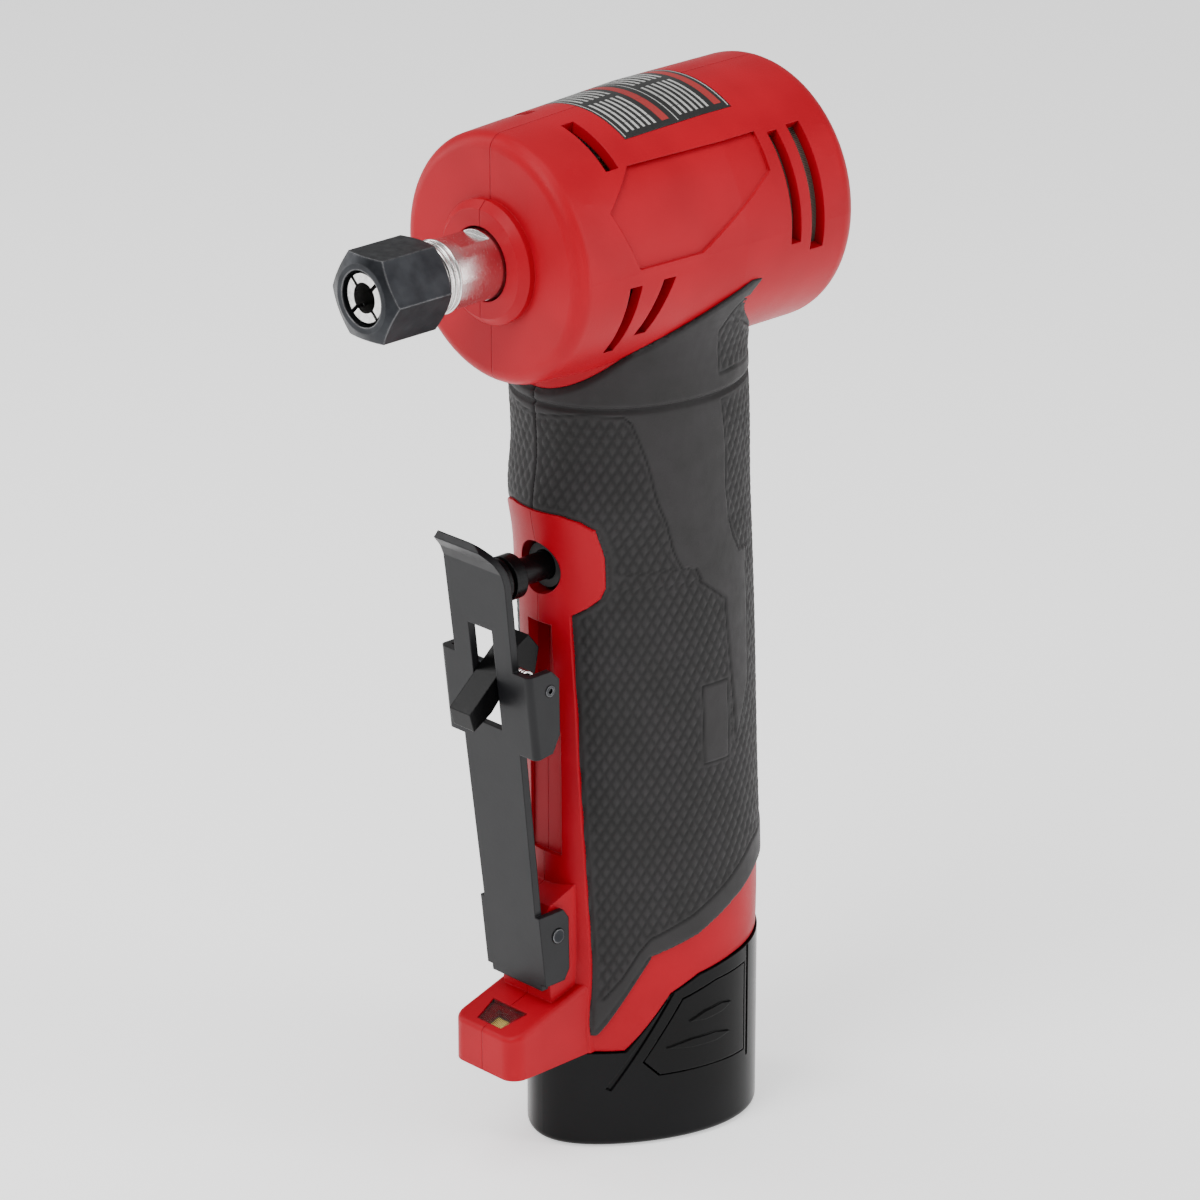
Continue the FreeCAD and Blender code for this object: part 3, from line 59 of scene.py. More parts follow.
class Look:
    """A material under construction: short calls for its nodes and links."""

    def __init__(self, name, **sockets):
        self.material = bpy.data.materials.new(name)
        self.material.use_nodes = True
        self.nodes = self.material.node_tree.nodes
        self.links = self.material.node_tree.links
        self.shader = self.nodes["Principled BSDF"]
        self.place = self.nodes.new("ShaderNodeTexCoord").outputs["Object"]
        for socket, value in sockets.items():
            self.shader.inputs[socket.replace("_", " ")].default_value = value

    def join(self, source, target):
        self.links.new(source, target)
        return self

    def node(self, kind, **inputs):
        """A new node with its inputs set to values or linked to other nodes' outputs."""
        made = self.nodes.new("ShaderNode" + kind)
        for name, value in inputs.items():
            socket = made.inputs[name.replace("_", " ")]
            if isinstance(value, bpy.types.NodeSocket):
                self.links.new(value, socket)
            else:
                socket.default_value = value
        return made

    def noise(self, size, detail=3.0, stretch=None):
        """Noise whose features are about size metres across."""
        at = self.place
        if stretch:
            at = self.node("Mapping", Vector=self.place, Scale=stretch).outputs["Vector"]
        return self.node("TexNoise", Vector=at, Scale=1.0 / size, Detail=detail).outputs["Fac"]

    def grain(self, size):
        """Cell distances for a moulded or cast surface grain."""
        return self.node("TexVoronoi", Vector=self.place, Scale=1.0 / size).outputs["Distance"]

    def ramp(self, value, *stops):
        """A colour or grey ramp of (position, colour) stops."""
        made = self.node("ValToRGB", Fac=value)
        ramp = made.color_ramp
        while len(ramp.elements) < len(stops):
            ramp.elements.new(0.5)
        for element, (position, colour) in zip(ramp.elements, stops):
            element.position = position
            element.color = (colour,) * 3 + (1,) if isinstance(colour, float) else (*colour, 1)
        return made.outputs["Color"]

    def mix(self, share, one, other):
        made = self.nodes.new("ShaderNodeMix")
        made.data_type = "RGBA"
        for index, value in ((0, share), (6, one), (7, other)):
            socket = made.inputs[index]
            if isinstance(value, bpy.types.NodeSocket):
                self.links.new(value, socket)
            else:
                socket.default_value = value if index == 0 else (*value, 1)
        return made.outputs[2]

    def maths(self, operation, one, other=0.0):
        made = self.nodes.new("ShaderNodeMath")
        made.operation = operation
        for index, value in enumerate((one, other)):
            if isinstance(value, bpy.types.NodeSocket):
                self.links.new(value, made.inputs[index])
            else:
                made.inputs[index].default_value = value
        return made.outputs[0]

    def colour(self, source):
        return self.join(source, self.shader.inputs["Base Color"])

    def rough(self, source):
        return self.join(source, self.shader.inputs["Roughness"])

    def bump(self, height, depth, strength=1.0, edge=None):
        """Surface relief of depth metres, over rounded edges of radius edge where given."""
        made = self.node("Bump", Strength=strength, Distance=depth, Height=height)
        if edge:
            soft = self.nodes.new("ShaderNodeBevel")
            soft.samples = 6
            soft.inputs["Radius"].default_value = edge
            self.join(soft.outputs["Normal"], made.inputs["Normal"])
        return self.join(made.outputs["Normal"], self.shader.inputs["Normal"])

    def wear(self, amount=0.5, width=0.0006):
        """Share from 0 on flats to 1 on outer edges, broken up by noise."""
        edge = self.nodes.new("ShaderNodeBevel")
        edge.samples = 6
        edge.inputs["Radius"].default_value = width
        flat = self.nodes.new("ShaderNodeNewGeometry").outputs["Normal"]
        dot = self.nodes.new("ShaderNodeVectorMath")
        dot.operation = "DOT_PRODUCT"
        self.join(edge.outputs["Normal"], dot.inputs[0]).join(flat, dot.inputs[1])
        near = self.ramp(dot.outputs["Value"], (0.80, 1.0), (0.985, 0.0))
        rubbed = self.ramp(self.noise(0.0012, 4.0), (0.5 - amount / 2, 0.0), (0.75 - amount / 2, 1.0))
        return self.maths("MULTIPLY", near, rubbed)


def moulded(name, colour, shade, roughness, grain=0.00035, depth=0.00002, edge=0.0003, **sockets):
    """Injection-moulded plastic: fine spark-eroded grain and a slight drift of colour and gloss."""
    look = Look(name, **sockets)
    drift = look.noise(0.018, 2.0)
    look.colour(look.ramp(drift, (0.35, shade), (0.65, colour)))
    fine = look.grain(grain)
    look.rough(look.ramp(look.maths("ADD", fine, look.noise(0.006, 4.0)), (0.35, roughness - 0.07),
                         (1.1, roughness + 0.07)))
    look.bump(fine, depth, 0.6, edge)
    return look.material


def metal(name, colour, shade, roughness, scratch=None, edge=0.0002, **sockets):
    """Bare metal with fine machining marks along one direction."""
    look = Look(name, Metallic=1.0, **sockets)
    marks = look.noise(0.0012, 5.0, scratch or (1, 12, 1))
    look.colour(look.ramp(marks, (0.3, shade), (0.7, colour)))
    look.rough(look.ramp(marks, (0.3, roughness + 0.08), (0.7, roughness - 0.05)))
    look.bump(marks, 0.00001, 0.5, edge)
    return look.material


def black_oxide(name):
    """Oiled black oxide, rubbed through to steel along its edges."""
    look = Look(name, Metallic=0.85)
    worn = look.wear(0.55, 0.0007)
    clouds = look.ramp(look.noise(0.004, 4.0), (0.3, (0.014, 0.015, 0.018)), (0.7, (0.030, 0.032, 0.036)))
    look.colour(look.mix(worn, clouds, (0.16, 0.16, 0.165)))
    look.rough(look.ramp(look.noise(0.0018, 5.0), (0.3, 0.30), (0.7, 0.46)))
    look.bump(look.noise(0.0006, 4.0), 0.00001, 0.5, 0.0004)
    return look.material


def painted_sheet(name):
    """Satin dark paint over pressed steel: faint orange peel and thin darker edges."""
    look = Look(name, Specular_IOR_Level=0.18, Coat_Weight=0.03, Coat_Roughness=0.25)
    clouds = look.ramp(look.noise(0.012, 3.0), (0.3, (0.006, 0.006, 0.007)), (0.7, (0.009, 0.009, 0.010)))
    look.colour(look.mix(look.wear(0.8, 0.0007), clouds, (0.004, 0.004, 0.005)))
    look.rough(look.ramp(look.noise(0.003, 4.0), (0.3, 0.28), (0.7, 0.38)))
    look.bump(look.noise(0.0009, 2.0), 0.000015, 0.6, 0.0004)
    return look.material


def rubber(name, colour, shade):
    """Soft overmould: matt, with painted shade darkening its knurl grooves and moulded lines, and a fine
    grain.
    """
    look = Look(name, Sheen_Weight=0.04, Sheen_Roughness=0.5, Specular_IOR_Level=0.15)
    face = look.ramp(look.noise(0.010, 3.0), (0.3, shade), (0.7, colour))
    painted_groove_shade = look.node("Attribute").outputs["Fac"]
    look.nodes[-1].attribute_name = "painted_groove_shade"
    # painted shade: the grip's knurl grooves and moulded lines are darkened towards near black by a
    # per-vertex attribute
    look.colour(look.mix(painted_groove_shade, face, (0.004, 0.004, 0.004)))
    fine = look.grain(0.0003)
    look.rough(look.ramp(look.noise(0.003, 3.0), (0.3, 0.50), (0.7, 0.62)))
    look.bump(fine, 0.00003, 0.6)
    return look.material


def clear_lens(name):
    look = Look(name, Transmission_Weight=1.0, IOR=1.35)
    prisms = look.node("TexWave", Vector=look.place, Scale=700.0, Distortion=0.6).outputs["Fac"]
    look.colour(look.ramp(look.noise(0.002, 3.0), (0.3, (0.90, 0.84, 0.80)), (0.7, (0.97, 0.94, 0.92))))
    look.rough(look.ramp(prisms, (0.2, 0.04), (0.8, 0.12)))
    look.bump(prisms, 0.00006, 0.5, 0.0002)
    return look.material


def board(name):
    """Green solder mask with faint copper tracks under it."""
    look = Look(name, Coat_Weight=0.5, Coat_Roughness=0.15)
    tracks = look.node("TexBrick", Vector=look.place, Scale=260.0).outputs["Fac"]
    look.colour(look.mix(tracks, (0.012, 0.10, 0.045), (0.03, 0.20, 0.08)))
    look.rough(look.ramp(look.noise(0.004, 3.0), (0.3, 0.30), (0.7, 0.42)))
    look.bump(tracks, 0.00002, 0.5)
    return look.material


def woven(name, wire, painted_gap_shade):
    """A fine square weave of wires, with painted shade in the gaps where a real mesh would show the dark
    inside.
    """
    look = Look(name)
    across = look.node("TexWave", Vector=look.place, Scale=1000.0).outputs["Fac"]
    look.nodes[-1].bands_direction = "Y"
    along = look.node("TexWave", Vector=look.place, Scale=1000.0).outputs["Fac"]
    look.nodes[-1].bands_direction = "Z"
    weave = look.maths("MULTIPLY", across, along)
    # painted shade: the gaps between the wires go near black, standing in for the dark inside
    look.colour(look.ramp(weave, (0.15, painted_gap_shade), (0.5, wire)))
    look.rough(look.ramp(look.noise(0.002, 3.0), (0.3, 0.45), (0.7, 0.6)))
    look.bump(weave, 0.0001, 0.8)
    return look.material


def laminated(name):
    """Stacked electrical steel: the lamination lines run round the spindle axis."""
    look = Look(name, Metallic=0.9)
    sheets = look.node("TexWave", Vector=look.place, Scale=640.0).outputs["Fac"]
    look.nodes[-1].bands_direction = "Y"
    look.colour(look.ramp(sheets, (0.3, (0.16, 0.16, 0.17)), (0.7, (0.40, 0.40, 0.42))))
    look.rough(look.ramp(look.noise(0.003, 3.0), (0.3, 0.35), (0.7, 0.5)))
    look.bump(sheets, 0.00004, 0.7)
    return look.material


def wound(name, colour, shade):
    """Enamelled copper, with the lie of the wire as fine ridges."""
    look = Look(name, Metallic=0.9, Coat_Weight=0.5, Coat_Roughness=0.2)
    turns = look.node("TexWave", Vector=look.place, Scale=520.0, Distortion=1.5).outputs["Fac"]
    look.colour(look.ramp(turns, (0.2, shade), (0.8, colour)))
    look.rough(look.ramp(look.noise(0.002, 3.0), (0.3, 0.28), (0.7, 0.42)))
    look.bump(turns, 0.0001, 0.7)
    return look.material


LOOKS = {
    "red_nylon": moulded("red_nylon", (0.36, 0.0004, 0.0100), (0.31, 0.0003, 0.0080), 0.36,
                         Specular_IOR_Level=0.13),
    "soft_rubber": rubber("soft_rubber", (0.026, 0.024, 0.025), (0.021, 0.020, 0.020)),
    "black_plastic": moulded("black_plastic", (0.004, 0.004, 0.005), (0.003, 0.003, 0.003), 0.26,
                              Specular_IOR_Level=0.12),
    "gloss_black_plastic": moulded("gloss_black_plastic", (0.003, 0.003, 0.0035), (0.002, 0.002, 0.002),
                                   0.18, depth=0.000006, Specular_IOR_Level=0.12),
    "black_painted_steel": painted_sheet("black_painted_steel"),
    "black_oxide_steel": black_oxide("black_oxide_steel"),
    "polished_steel": metal("polished_steel", (0.78, 0.77, 0.76), (0.58, 0.57, 0.56), 0.20),
    "bearing_steel": metal("bearing_steel", (0.72, 0.72, 0.73), (0.55, 0.55, 0.56), 0.18),
    "electrical_steel": laminated("electrical_steel"),
    "magnet": metal("magnet", (0.62, 0.61, 0.58), (0.48, 0.47, 0.45), 0.28),
    "copper": wound("copper", (0.82, 0.36, 0.17), (0.45, 0.16, 0.07)),
    "circuit_board": board("circuit_board"),
    "clear_lens": clear_lens("clear_lens"),
    "lamp_die": moulded("lamp_die", (0.92, 0.80, 0.20), (0.80, 0.62, 0.10), 0.35),
    # painted shade: the second colour fills the weave's gaps as the dark inside seen through them
    "mesh_screen": woven("mesh_screen", (0.16, 0.12, 0.09), (0.02, 0.015, 0.012)),
    "label_film": moulded("label_film", (0.007, 0.007, 0.007), (0.004, 0.004, 0.004), 0.30, depth=0.000004),
    "cell_wrap": moulded("cell_wrap", (0.05, 0.16, 0.42), (0.035, 0.12, 0.34), 0.3),
    "wire_insulation": moulded("wire_insulation", (0.45, 0.02, 0.02), (0.35, 0.015, 0.015), 0.5),
}
PRINT_LOOKS = {
    "pale": moulded("print_pale", (0.42, 0.42, 0.41), (0.30, 0.30, 0.29), 0.4, grain=0.0002),
    "heading": moulded("print_heading", (0.30, 0.012, 0.012), (0.22, 0.010, 0.010), 0.4, grain=0.0002),
}
for part in frame["record"]["subparts"]:
    mesh = NODES[part["node"]].data
    mesh.materials.clear()
    mesh.materials.append(LOOKS[part["material_slot"]])

# ---------------------------------------------------------------- making pieces

def node_body(name):
    """The body that a CAD node rides on."""
    return next(body for body, names in frame["record"]["behaviour"]["bodies"].items() if name in names)


def mesh_object(name, points, faces):
    mesh = bpy.data.meshes.new(name)
    mesh.from_pydata([tuple(point) for point in points], [], faces)
    mesh.validate()
    made = bpy.data.objects.new(name, mesh)
    bpy.context.scene.collection.objects.link(made)
    return made


def weld(mesh, distance=1e-7):
    """Joins the split corners of an imported mesh."""
    made = bmesh.new()
    made.from_mesh(mesh)
    bmesh.ops.remove_doubles(made, verts=made.verts, dist=distance)
    made.to_mesh(mesh)
    made.free()


def apply_modifiers(piece):
    """Replaces a piece's mesh by what its modifiers make of it."""
    graph = bpy.context.evaluated_depsgraph_get()
    graph.update()
    made = bpy.data.meshes.new_from_object(piece.evaluated_get(graph))
    piece.modifiers.clear()
    piece.data = made


def smooth(mesh, angle):
    """Smooth shading, except across edges sharper than angle degrees."""
    mesh.shade_smooth()
    mesh.set_sharp_from_angle(angle=math.radians(angle))


def finish_piece(piece, slot_name, body, *replaced):
    """Gives a piece its material and its body, and hides the CAD nodes that it stands for."""
    piece.data.materials.clear()
    piece.data.materials.append(LOOKS[slot_name])
    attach(piece, body)
    if replaced:
        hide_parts(*replaced)
    return piece


# ---------------------------------------------------------------- soft grips

GRIP_CENTRE_Y = -3.0
GRIP_LOW, GRIP_HIGH = 25.0, 200.0
CELL = 0.42                      # spacing of the surface grid
KNURL = (2.5, 4.1, 0.30)         # width, height and depth of a diamond
EDGE_ROUND = 0.8
LINE_WIDTH, LINE_DEPTH = 0.38, 0.35
LINE_FADE, RIM_FADE = (0.35, 1.1), (0.6, 1.6)    # where the knurl fades in from a line and from the rim
GROOVE_SHARE = 0.34                              # half width of a groove, as a share of the diamonds' pitch
# painted shade: how strongly, and across what share of a groove, the knurl grooves and moulded lines are
# darkened
GROOVE_PAINTED_SHADE_FADE = (0.04, 0.30)
LINE_PAINTED_SHADE, GROOVE_PAINTED_SHADE = 0.85, 0.55
KNURL_SUNK, SKIN_SUNK = 0.12, 0.04               # knurled areas and the whole skin, below the CAD skin
PLATE_MARGIN = 0.3
REACH = 80.0                                     # length of the rays towards the grip's centre line
SEAM_CLEAR = 0.12                                # half width of the seam, which gets no painted shade
# lines moulded into the right-hand grip, as (x, y, z) on its surface in millimetres
KNURL_TOP = [(0, -31.5, 167.9), (10.6, -28.3, 169.4), (17.1, -22.3, 169.1), (18.1, -21, 167.7),
             (20.5, -16.4, 151.7), (22.2, -10.2, 134.5), (23.1, -5.8, 130.6), (23.4, 1.7, 124.6),
             (23.3, 4.1, 105.2), (23.1, 5.7, 90.7)]
KNURL_REAR = [(23.1, 5.7, 90.7), (21.8, 10.1, 103.1), (21.5, 9.9, 121.3), (21.2, 9.7, 133.5),
              (23, 2.7, 142.4), (23.1, 1.6, 155.4), (23.2, 0.2, 169.2), (14, 20, 169.6), (0, 23, 169.8)]
KNURL_LOW = [(12, -23.1, 35.4), (14.6, -20, 40.1), (16.9, -16.9, 46.2), (18.1, -14.8, 49), (22, -5.7, 53.2),
             (23.3, 2.2, 58.2), (21.8, 11.9, 65.3), (12, 22, 68.5), (0, 26, 69.5)]
NECK_PANEL = [(14, 20, 174.4), (21.5, 11.2, 174.6), (23.3, -0.5, 175.1), (23.4, -1.6, 184.6),
              (25.5, 4, 191.0), (20, 20, 191.0)]
PLATE = ((-4.0, 3.0), (88.0, 106.0))


def bvh_of(name):
    """A search tree over a CAD node's faces, in millimetres."""
    mesh = NODES[name].data
    points = [vertex.co / MM for vertex in mesh.vertices]
    return BVHTree.FromPolygons(points, [tuple(face.vertices) for face in mesh.polygons])


def turned(x, y):
    """Angle round the grip: 0 at its front centre, pi at its rear centre."""
    return np.arctan2(np.abs(x), -(np.asarray(y) - GRIP_CENTRE_Y))


def segment_distance(s, z, line):
    """Distance of every grid point from a polyline of (s, z) points."""
    best = np.full(s.shape, 1e9)
    for (s0, z0), (s1, z1) in zip(line, line[1:]):
        ds, dz = s1 - s0, z1 - z0
        share = np.clip(((s - s0) * ds + (z - z0) * dz) / max(ds * ds + dz * dz, 1e-9), 0, 1)
        best = np.minimum(best, np.hypot(s - s0 - share * ds, z - z0 - share * dz))
    return best


def inside(s, z, outline):
    """Which grid points lie inside a polygon of (s, z) points."""
    odd = np.zeros(s.shape, bool)
    for (s0, z0), (s1, z1) in zip(outline, outline[1:] + outline[:1]):
        crosses = (z0 > z) != (z1 > z)
        odd ^= crosses & (s < (s1 - s0) * (z - z0) / ((z1 - z0) or 1e-9) + s0)
    return odd


def above_line(s, z, line):
    """Which grid points lie above a polyline that runs from the front to the rear."""
    along = np.array(line)
    order = np.argsort(along[:, 0])
    return z > np.interp(s, along[order, 0], along[order, 1])


def smooth_step(value, start, end):
    share = np.clip((value - start) / (end - start), 0, 1)
    return share * share * (3 - 2 * share)


def grip_relief(s, z, to_grid, edge_distance):
    """Depth of the moulded relief below the grip's outer surface in millimetres, and the painted shade for
    its grooves and lines.
    """
    top, rear, low, neck = (to_grid(line) for line in (KNURL_TOP, KNURL_REAR, KNURL_LOW, NECK_PANEL))
    seam = GRIP_HIGH
    strip = inside(s, z, top + rear[1:] + [(rear[-1][0], seam), (0.0, seam)])
    panel = inside(s, z, neck)
    plate_s = to_grid([(23.2, y, sum(PLATE[1]) / 2) for y in PLATE[0]])
    plate_middle = (plate_s[0][0] + plate_s[1][0]) / 2
    from_plate = np.maximum(np.abs(s - plate_middle) - abs(plate_s[1][0] - plate_s[0][0]) / 2,
                            np.abs(z - sum(PLATE[1]) / 2) - (PLATE[1][1] - PLATE[1][0]) / 2)
    knurled = (~strip & above_line(s, z, low) | panel) & (from_plate > PLATE_MARGIN)
    borders = np.minimum.reduce([segment_distance(s, z, line)
                                 for line in (top, rear, low, neck + neck[:1])] + [np.abs(from_plate)])
    width, height, depth = KNURL
    one, other = s / width + z / height, s / width - z / height
    groove = np.minimum(np.abs(one - np.round(one)), np.abs(other - np.round(other)))
    share = smooth_step(borders, *LINE_FADE) * smooth_step(edge_distance, *RIM_FADE)
    relief = np.where(knurled, depth * share * (1 - smooth_step(groove, 0.0, GROOVE_SHARE)), 0.0)
    relief += np.where(knurled, KNURL_SUNK, 0.0)
    lines = 1 - smooth_step(borders, 0.0, LINE_WIDTH)
    relief += LINE_DEPTH * lines
    # painted shade: darkness laid into the knurl grooves and along the moulded lines
    shaded_grooves = np.where(knurled, share * (1 - smooth_step(groove, *GROOVE_PAINTED_SHADE_FADE)), 0.0)
    painted_groove_shade = np.maximum(LINE_PAINTED_SHADE * lines, GROOVE_PAINTED_SHADE * shaded_grooves)
    fall = np.clip(EDGE_ROUND - edge_distance, 0, EDGE_ROUND)
    relief += EDGE_ROUND - np.sqrt(EDGE_ROUND ** 2 - fall ** 2)
    return relief + SKIN_SUNK, painted_groove_shade


def outline_samples(mesh, angle=0.6, step=0.3):
    """Points along the sharp edges of a mesh, in millimetres."""
    made = bmesh.new()
    made.from_mesh(mesh)
    bmesh.ops.remove_doubles(made, verts=made.verts, dist=1e-7)
    samples = []
    for edge in made.edges:
        if len(edge.link_faces) == 2 and edge.calc_face_angle() > angle:
            start, end = (vertex.co / MM for vertex in edge.verts)
            count = max(1, int((end - start).length / step))
            samples += [start.lerp(end, (k + 0.5) / count) for k in range(count)]
    made.free()
    return samples


def moulded_grip(name, side):
    """The soft grip on one side (+1 right, -1 left), with its knurl, lines and rounded edges."""
    node = NODES[name]
    tree = bvh_of(name)
    rows = np.arange(GRIP_LOW, GRIP_HIGH, CELL)
    angles = np.linspace(0, math.pi, int(75 / CELL))
    radius = np.full((len(rows), len(angles)), np.nan)
    for i, z in enumerate(rows):
        for j, angle in enumerate(angles):
            a = min(max(angle, 0.006), math.pi - 0.006)
            out = Vector((side * math.sin(a), -math.cos(a), 0))
            hit = tree.ray_cast(Vector((0, GRIP_CENTRE_Y, z)) + out * REACH, -out, REACH - 1)[0]
            if hit is not None:
                radius[i, j] = math.hypot(hit.x, hit.y - GRIP_CENTRE_Y)
    for _ in range(400):
        gaps = np.isnan(radius)
        if not gaps.any():
            break
        wide = np.pad(radius, 1, mode="edge")
        near = np.stack([wide[:-2, 1:-1], wide[2:, 1:-1], wide[1:-1, :-2], wide[1:-1, 2:]])
        counts = (~np.isnan(near)).sum(axis=0)
        filled = np.where(counts > 0, np.nansum(near, axis=0) / np.maximum(counts, 1), np.nan)
        radius[gaps] = filled[gaps]
    z = np.repeat(rows[:, None], len(angles), axis=1)
    x = side * radius * np.sin(angles)
    y = GRIP_CENTRE_Y - radius * np.cos(angles)
    steps = np.hypot(np.diff(x, axis=1), np.diff(y, axis=1))
    s = np.concatenate([np.zeros((len(rows), 1)), np.cumsum(steps, axis=1)], axis=1)

    def to_grid(line):
        """(x, y, z) points on the surface as (s, z)."""
        placed = []
        for px, py, pz in line:
            row = int(np.clip((pz - GRIP_LOW) / CELL, 0, len(rows) - 1))
            placed.append((float(np.interp(turned(px, py), angles, s[row])), pz))
        return placed

    edges = to_grid(outline_samples(node.data))
    finder = KDTree(len(edges))
    for index, (es, ez) in enumerate(edges):
        finder.insert((es, ez, 0), index)
    finder.balance()
    edge_distance = np.array([[finder.find((ss, zz, 0))[2] for ss, zz in zip(*row)] for row in zip(s, z)])
    relief, painted_groove_shade = grip_relief(s, z, to_grid, edge_distance)
    radius -= relief
    x = side * radius * np.sin(angles)
    y = GRIP_CENTRE_Y - radius * np.cos(angles)

    columns = len(angles) + 1
    points = np.zeros((len(rows), columns, 3))
    points[:, :-1] = np.stack([x, y, z], axis=2)
    points[:, -1] = np.stack([rows * 0, rows * 0 + GRIP_CENTRE_Y, rows], axis=1)
    faces = []
    for i in range(len(rows) - 1):
        for j in range(columns):
            a, b = i * columns + j, i * columns + (j + 1) % columns
            faces.append((a, b, b + columns, a + columns)[::side])
    faces.append(tuple(range(columns))[::-side])
    faces.append(tuple((len(rows) - 1) * columns + j for j in range(columns))[::side])
    hull = mesh_object(name + "_hull", points.reshape(-1, 3) * MM, faces)

    skin = bpy.data.objects.new(name + "_soft", node.data.copy())
    bpy.context.scene.collection.objects.link(skin)
    weld(skin.data)
    cut = skin.modifiers.new("relief", "BOOLEAN")
    cut.operation, cut.solver, cut.object = "INTERSECT", "EXACT", hull
    apply_modifiers(skin)
    bpy.data.objects.remove(hull)
    smooth(skin.data, 40)
    # painted shade: each vertex takes the darkening of the groove or line under it, and the seam stays
    # plain
    shade = skin.data.attributes.new("painted_groove_shade", "FLOAT", "POINT")
    for index, vertex in enumerate(skin.data.vertices):
        at = vertex.co / MM
        if abs(at.x) < SEAM_CLEAR:
            continue
        row = min(max((at.z - GRIP_LOW) / CELL, 0), len(rows) - 1)
        column = float(turned(at.x, at.y)) / math.pi * (len(angles) - 1)
        shade.data[index].value = painted_groove_shade[round(row), round(column)]
    finish_piece(skin, "soft_rubber", node_body(name), name)


for grip_name, grip_side in (("grip_right", 1), ("grip_left", -1)):
    moulded_grip(grip_name, grip_side)

# ---------------------------------------------------------------- thread behind the nut

THREAD_PITCH = 1.27
THREAD_RADIUS = 7.42
THREAD_FORM = 0.34
THREAD_TURNS = 3
THREAD_START = 1.5                   # first turn behind the nut's rear face


def spindle_thread():
    """The last turns of the nut's thread, standing clear on the spindle behind the nut."""
    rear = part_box("collet_nut")[1][1]
    height = (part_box("spindle")[0][2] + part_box("spindle")[1][2]) / 2
    for turn in range(THREAD_TURNS):
        place = (0, rear + (THREAD_START + turn * THREAD_PITCH) * MM, height)
        bpy.ops.mesh.primitive_torus_add(location=place, rotation=(math.pi / 2, 0, 0), major_segments=72,
                                         minor_segments=10, major_radius=THREAD_RADIUS * MM,
                                         minor_radius=THREAD_FORM * MM)
        ring = bpy.context.object
        ring.name = f"thread_turn_{turn}"
        smooth(ring.data, 60)
        finish_piece(ring, "polished_steel", node_body("spindle"))


spindle_thread()

# ---------------------------------------------------------------- print on the rating label

AXIS_Z = 203.6                       # height of the spindle's axis
PRINT_PROUD = 0.012
BLOCKS = ((-17.6, -4.9), (-2.9, 9.8))
PRINT_START, PRINT_END = math.radians(62.5), math.radians(117.5)
HEADING = (0.6, 2.0)                 # a heading bar's distance from its block's edge, and its width
HEADING_GAP = 1.0
BARS = 6
RAGGED = 0.06                        # step of the uneven line ends, in radians
RULES, RULE_HALF, RULE_PAST = (-18.4, -3.9, 10.2), 0.12, 0.04


def label_strip(name, tree, low, high, start, end, look):
    """A thin strip of print on the label between two values of y and two angles round the head."""
    turns = np.linspace(start, end, max(3, int((end - start) * 30)))
    points = []
    for y in (low, high):
        for turn in turns:
            out = Vector((math.cos(turn), 0, math.sin(turn)))
            hit = tree.ray_cast(Vector((0, y, AXIS_Z)) + out * REACH, -out, REACH - 1)[0]
            points.append((hit + out * PRINT_PROUD) * MM)
    count = len(turns)
    faces = [(k, k + 1, k + 1 + count, k + count) for k in range(count - 1)]
    strip = mesh_object(name, points, faces)
    smooth(strip.data, 30)
    strip.data.materials.append(PRINT_LOOKS[look])
    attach(strip, node_body("rating_label"))
    return strip


def print_label():
    """Two blocks of plain bars in place of printed text, each with a darker heading bar."""
    tree = bvh_of("rating_label")
    middle = (PRINT_START + PRINT_END) / 2
    for block, (low, high) in enumerate(BLOCKS):
        top = high - HEADING[0]
        label_strip(f"print_heading_{block}", tree, top - HEADING[1], top, PRINT_START, PRINT_END,
                    "heading")
        pitch = (top - HEADING[1] - HEADING_GAP - low) / BARS
        for line in range(BARS):
            at = low + pitch * (line + 0.25)
            reach = PRINT_END - RAGGED * ((line * 3 + block) % 4)
            for part, (start, end) in enumerate(((PRINT_START, middle - 0.05), (middle + 0.02, reach))):
                label_strip(f"print_{block}_{line}_{part}", tree, at, at + pitch * 0.42, start, end, "pale")
    for edge, y in enumerate(RULES):
        label_strip(f"print_rule_{edge}", tree, y - RULE_HALF, y + RULE_HALF, PRINT_START - RULE_PAST,
                    PRINT_END + RULE_PAST, "pale")


print_label()

# ---------------------------------------------------------------- camera, light, floor

AZIMUTH, ELEVATION = math.radians(46.26), math.radians(21.86)
DISTANCE, LENS_MM, SENSOR_MM = 1.170, 165.0, 36.0
LOOK_AT = Vector((-0.00624, -0.00652, 0.11785))


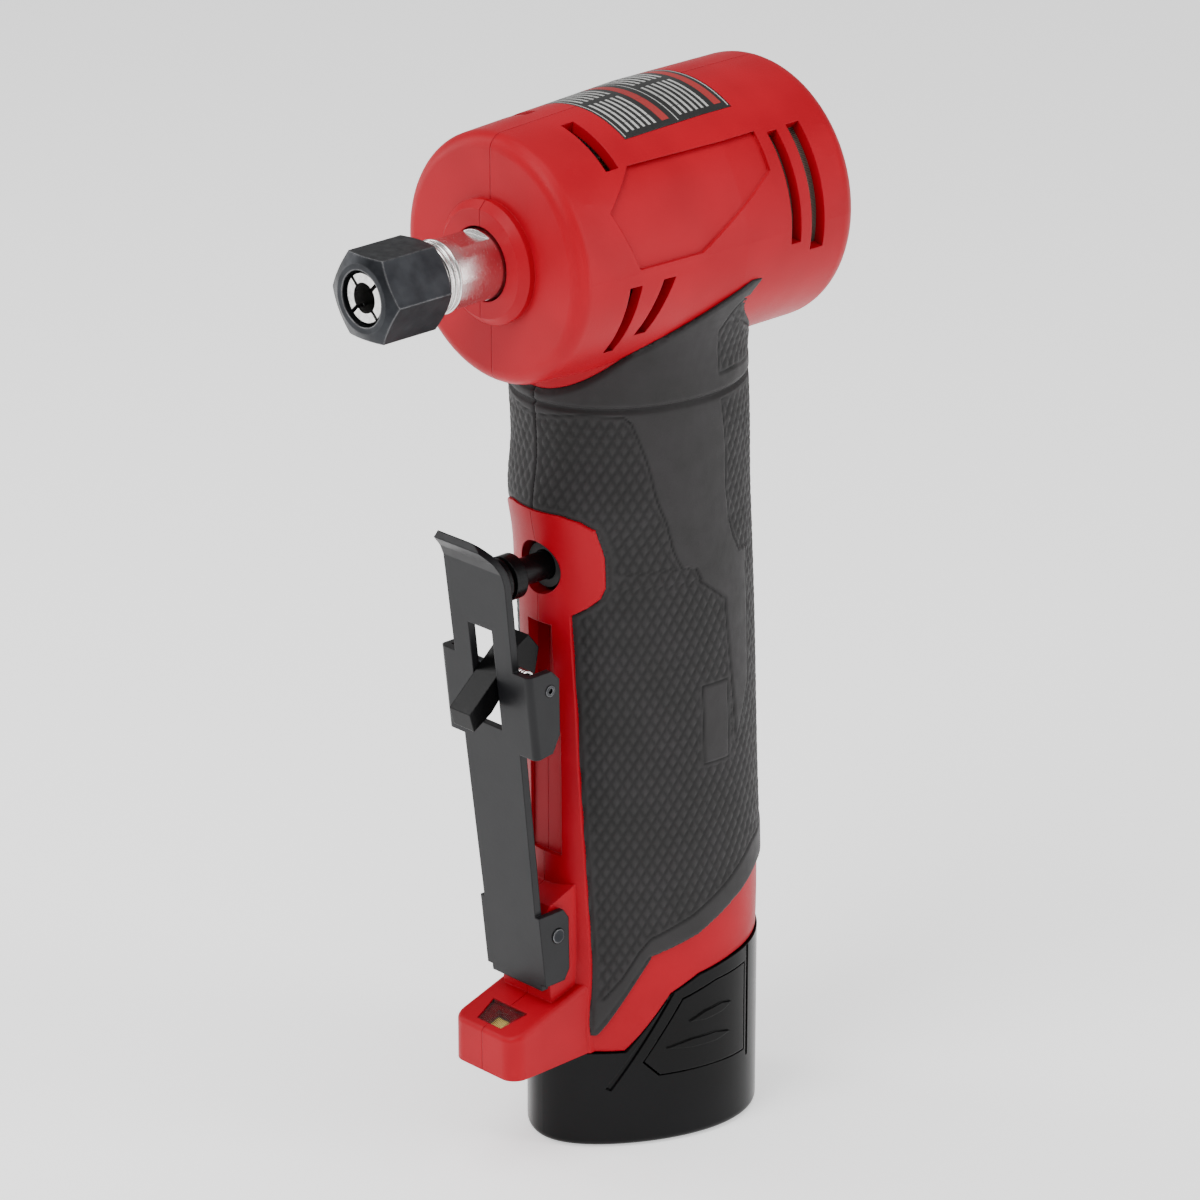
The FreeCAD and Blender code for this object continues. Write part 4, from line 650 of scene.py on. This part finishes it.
def from_azimuth(azimuth, elevation):
    """Unit vector from the object towards a camera at these angles; azimuth 0 looks along +Y."""
    flat = math.cos(elevation)
    return Vector((math.sin(azimuth) * flat, -math.cos(azimuth) * flat, math.sin(elevation)))


camera = bpy.data.objects.new("camera", bpy.data.cameras.new("camera"))
bpy.context.scene.collection.objects.link(camera)
camera.data.lens, camera.data.sensor_width = LENS_MM, SENSOR_MM
camera.data.clip_start, camera.data.clip_end = 0.05, 20.0
camera.location = LOOK_AT + from_azimuth(AZIMUTH, ELEVATION) * DISTANCE
camera.rotation_euler = (LOOK_AT - camera.location).to_track_quat("-Z", "Y").to_euler()
bpy.context.scene.camera = camera


def area_light(name, azimuth, elevation, distance, size, watts, warmth=(1, 1, 1)):
    """A soft box round the tool, aimed at its middle."""
    data = bpy.data.lights.new(name, "AREA")
    data.shape, data.size, data.size_y = "RECTANGLE", size[0], size[1]
    data.energy, data.color = watts, warmth
    lamp = bpy.data.objects.new(name, data)
    bpy.context.scene.collection.objects.link(lamp)
    lamp.location = LOOK_AT + from_azimuth(math.radians(azimuth), math.radians(elevation)) * distance
    lamp.rotation_euler = (LOOK_AT - lamp.location).to_track_quat("-Z", "Y").to_euler()


area_light("key", 5, 48, 1.1, (0.5, 0.7), 8.0)
area_light("side", 118, 20, 1.0, (0.30, 1.1), 5.5)
area_light("front", 62, 10, 1.4, (0.6, 0.6), 2.0)
area_light("left_edge", -60, 20, 1.0, (0.3, 1.1), 5.0)
area_light("top", 40, 86, 1.1, (0.8, 0.8), 6.5)

world = bpy.data.worlds.new("studio")
bpy.context.scene.world = world
world.use_nodes = True
world.node_tree.nodes["Background"].inputs["Color"].default_value = (1, 1, 1, 1)
world.node_tree.nodes["Background"].inputs["Strength"].default_value = 0.42

FLOOR_HALF = 6.0
floor_look = Look("floor", Roughness=0.7, Emission_Color=(1, 1, 1, 1), Emission_Strength=0.75)
floor_look.colour(floor_look.ramp(floor_look.noise(0.4, 2.0), (0.3, 0.90), (0.7, 0.93)))
bpy.ops.mesh.primitive_plane_add(size=2 * FLOOR_HALF, location=(0, 0, -0.0002))
floor = bpy.context.object
floor.name = "floor"
floor.data.materials.append(floor_look.material)
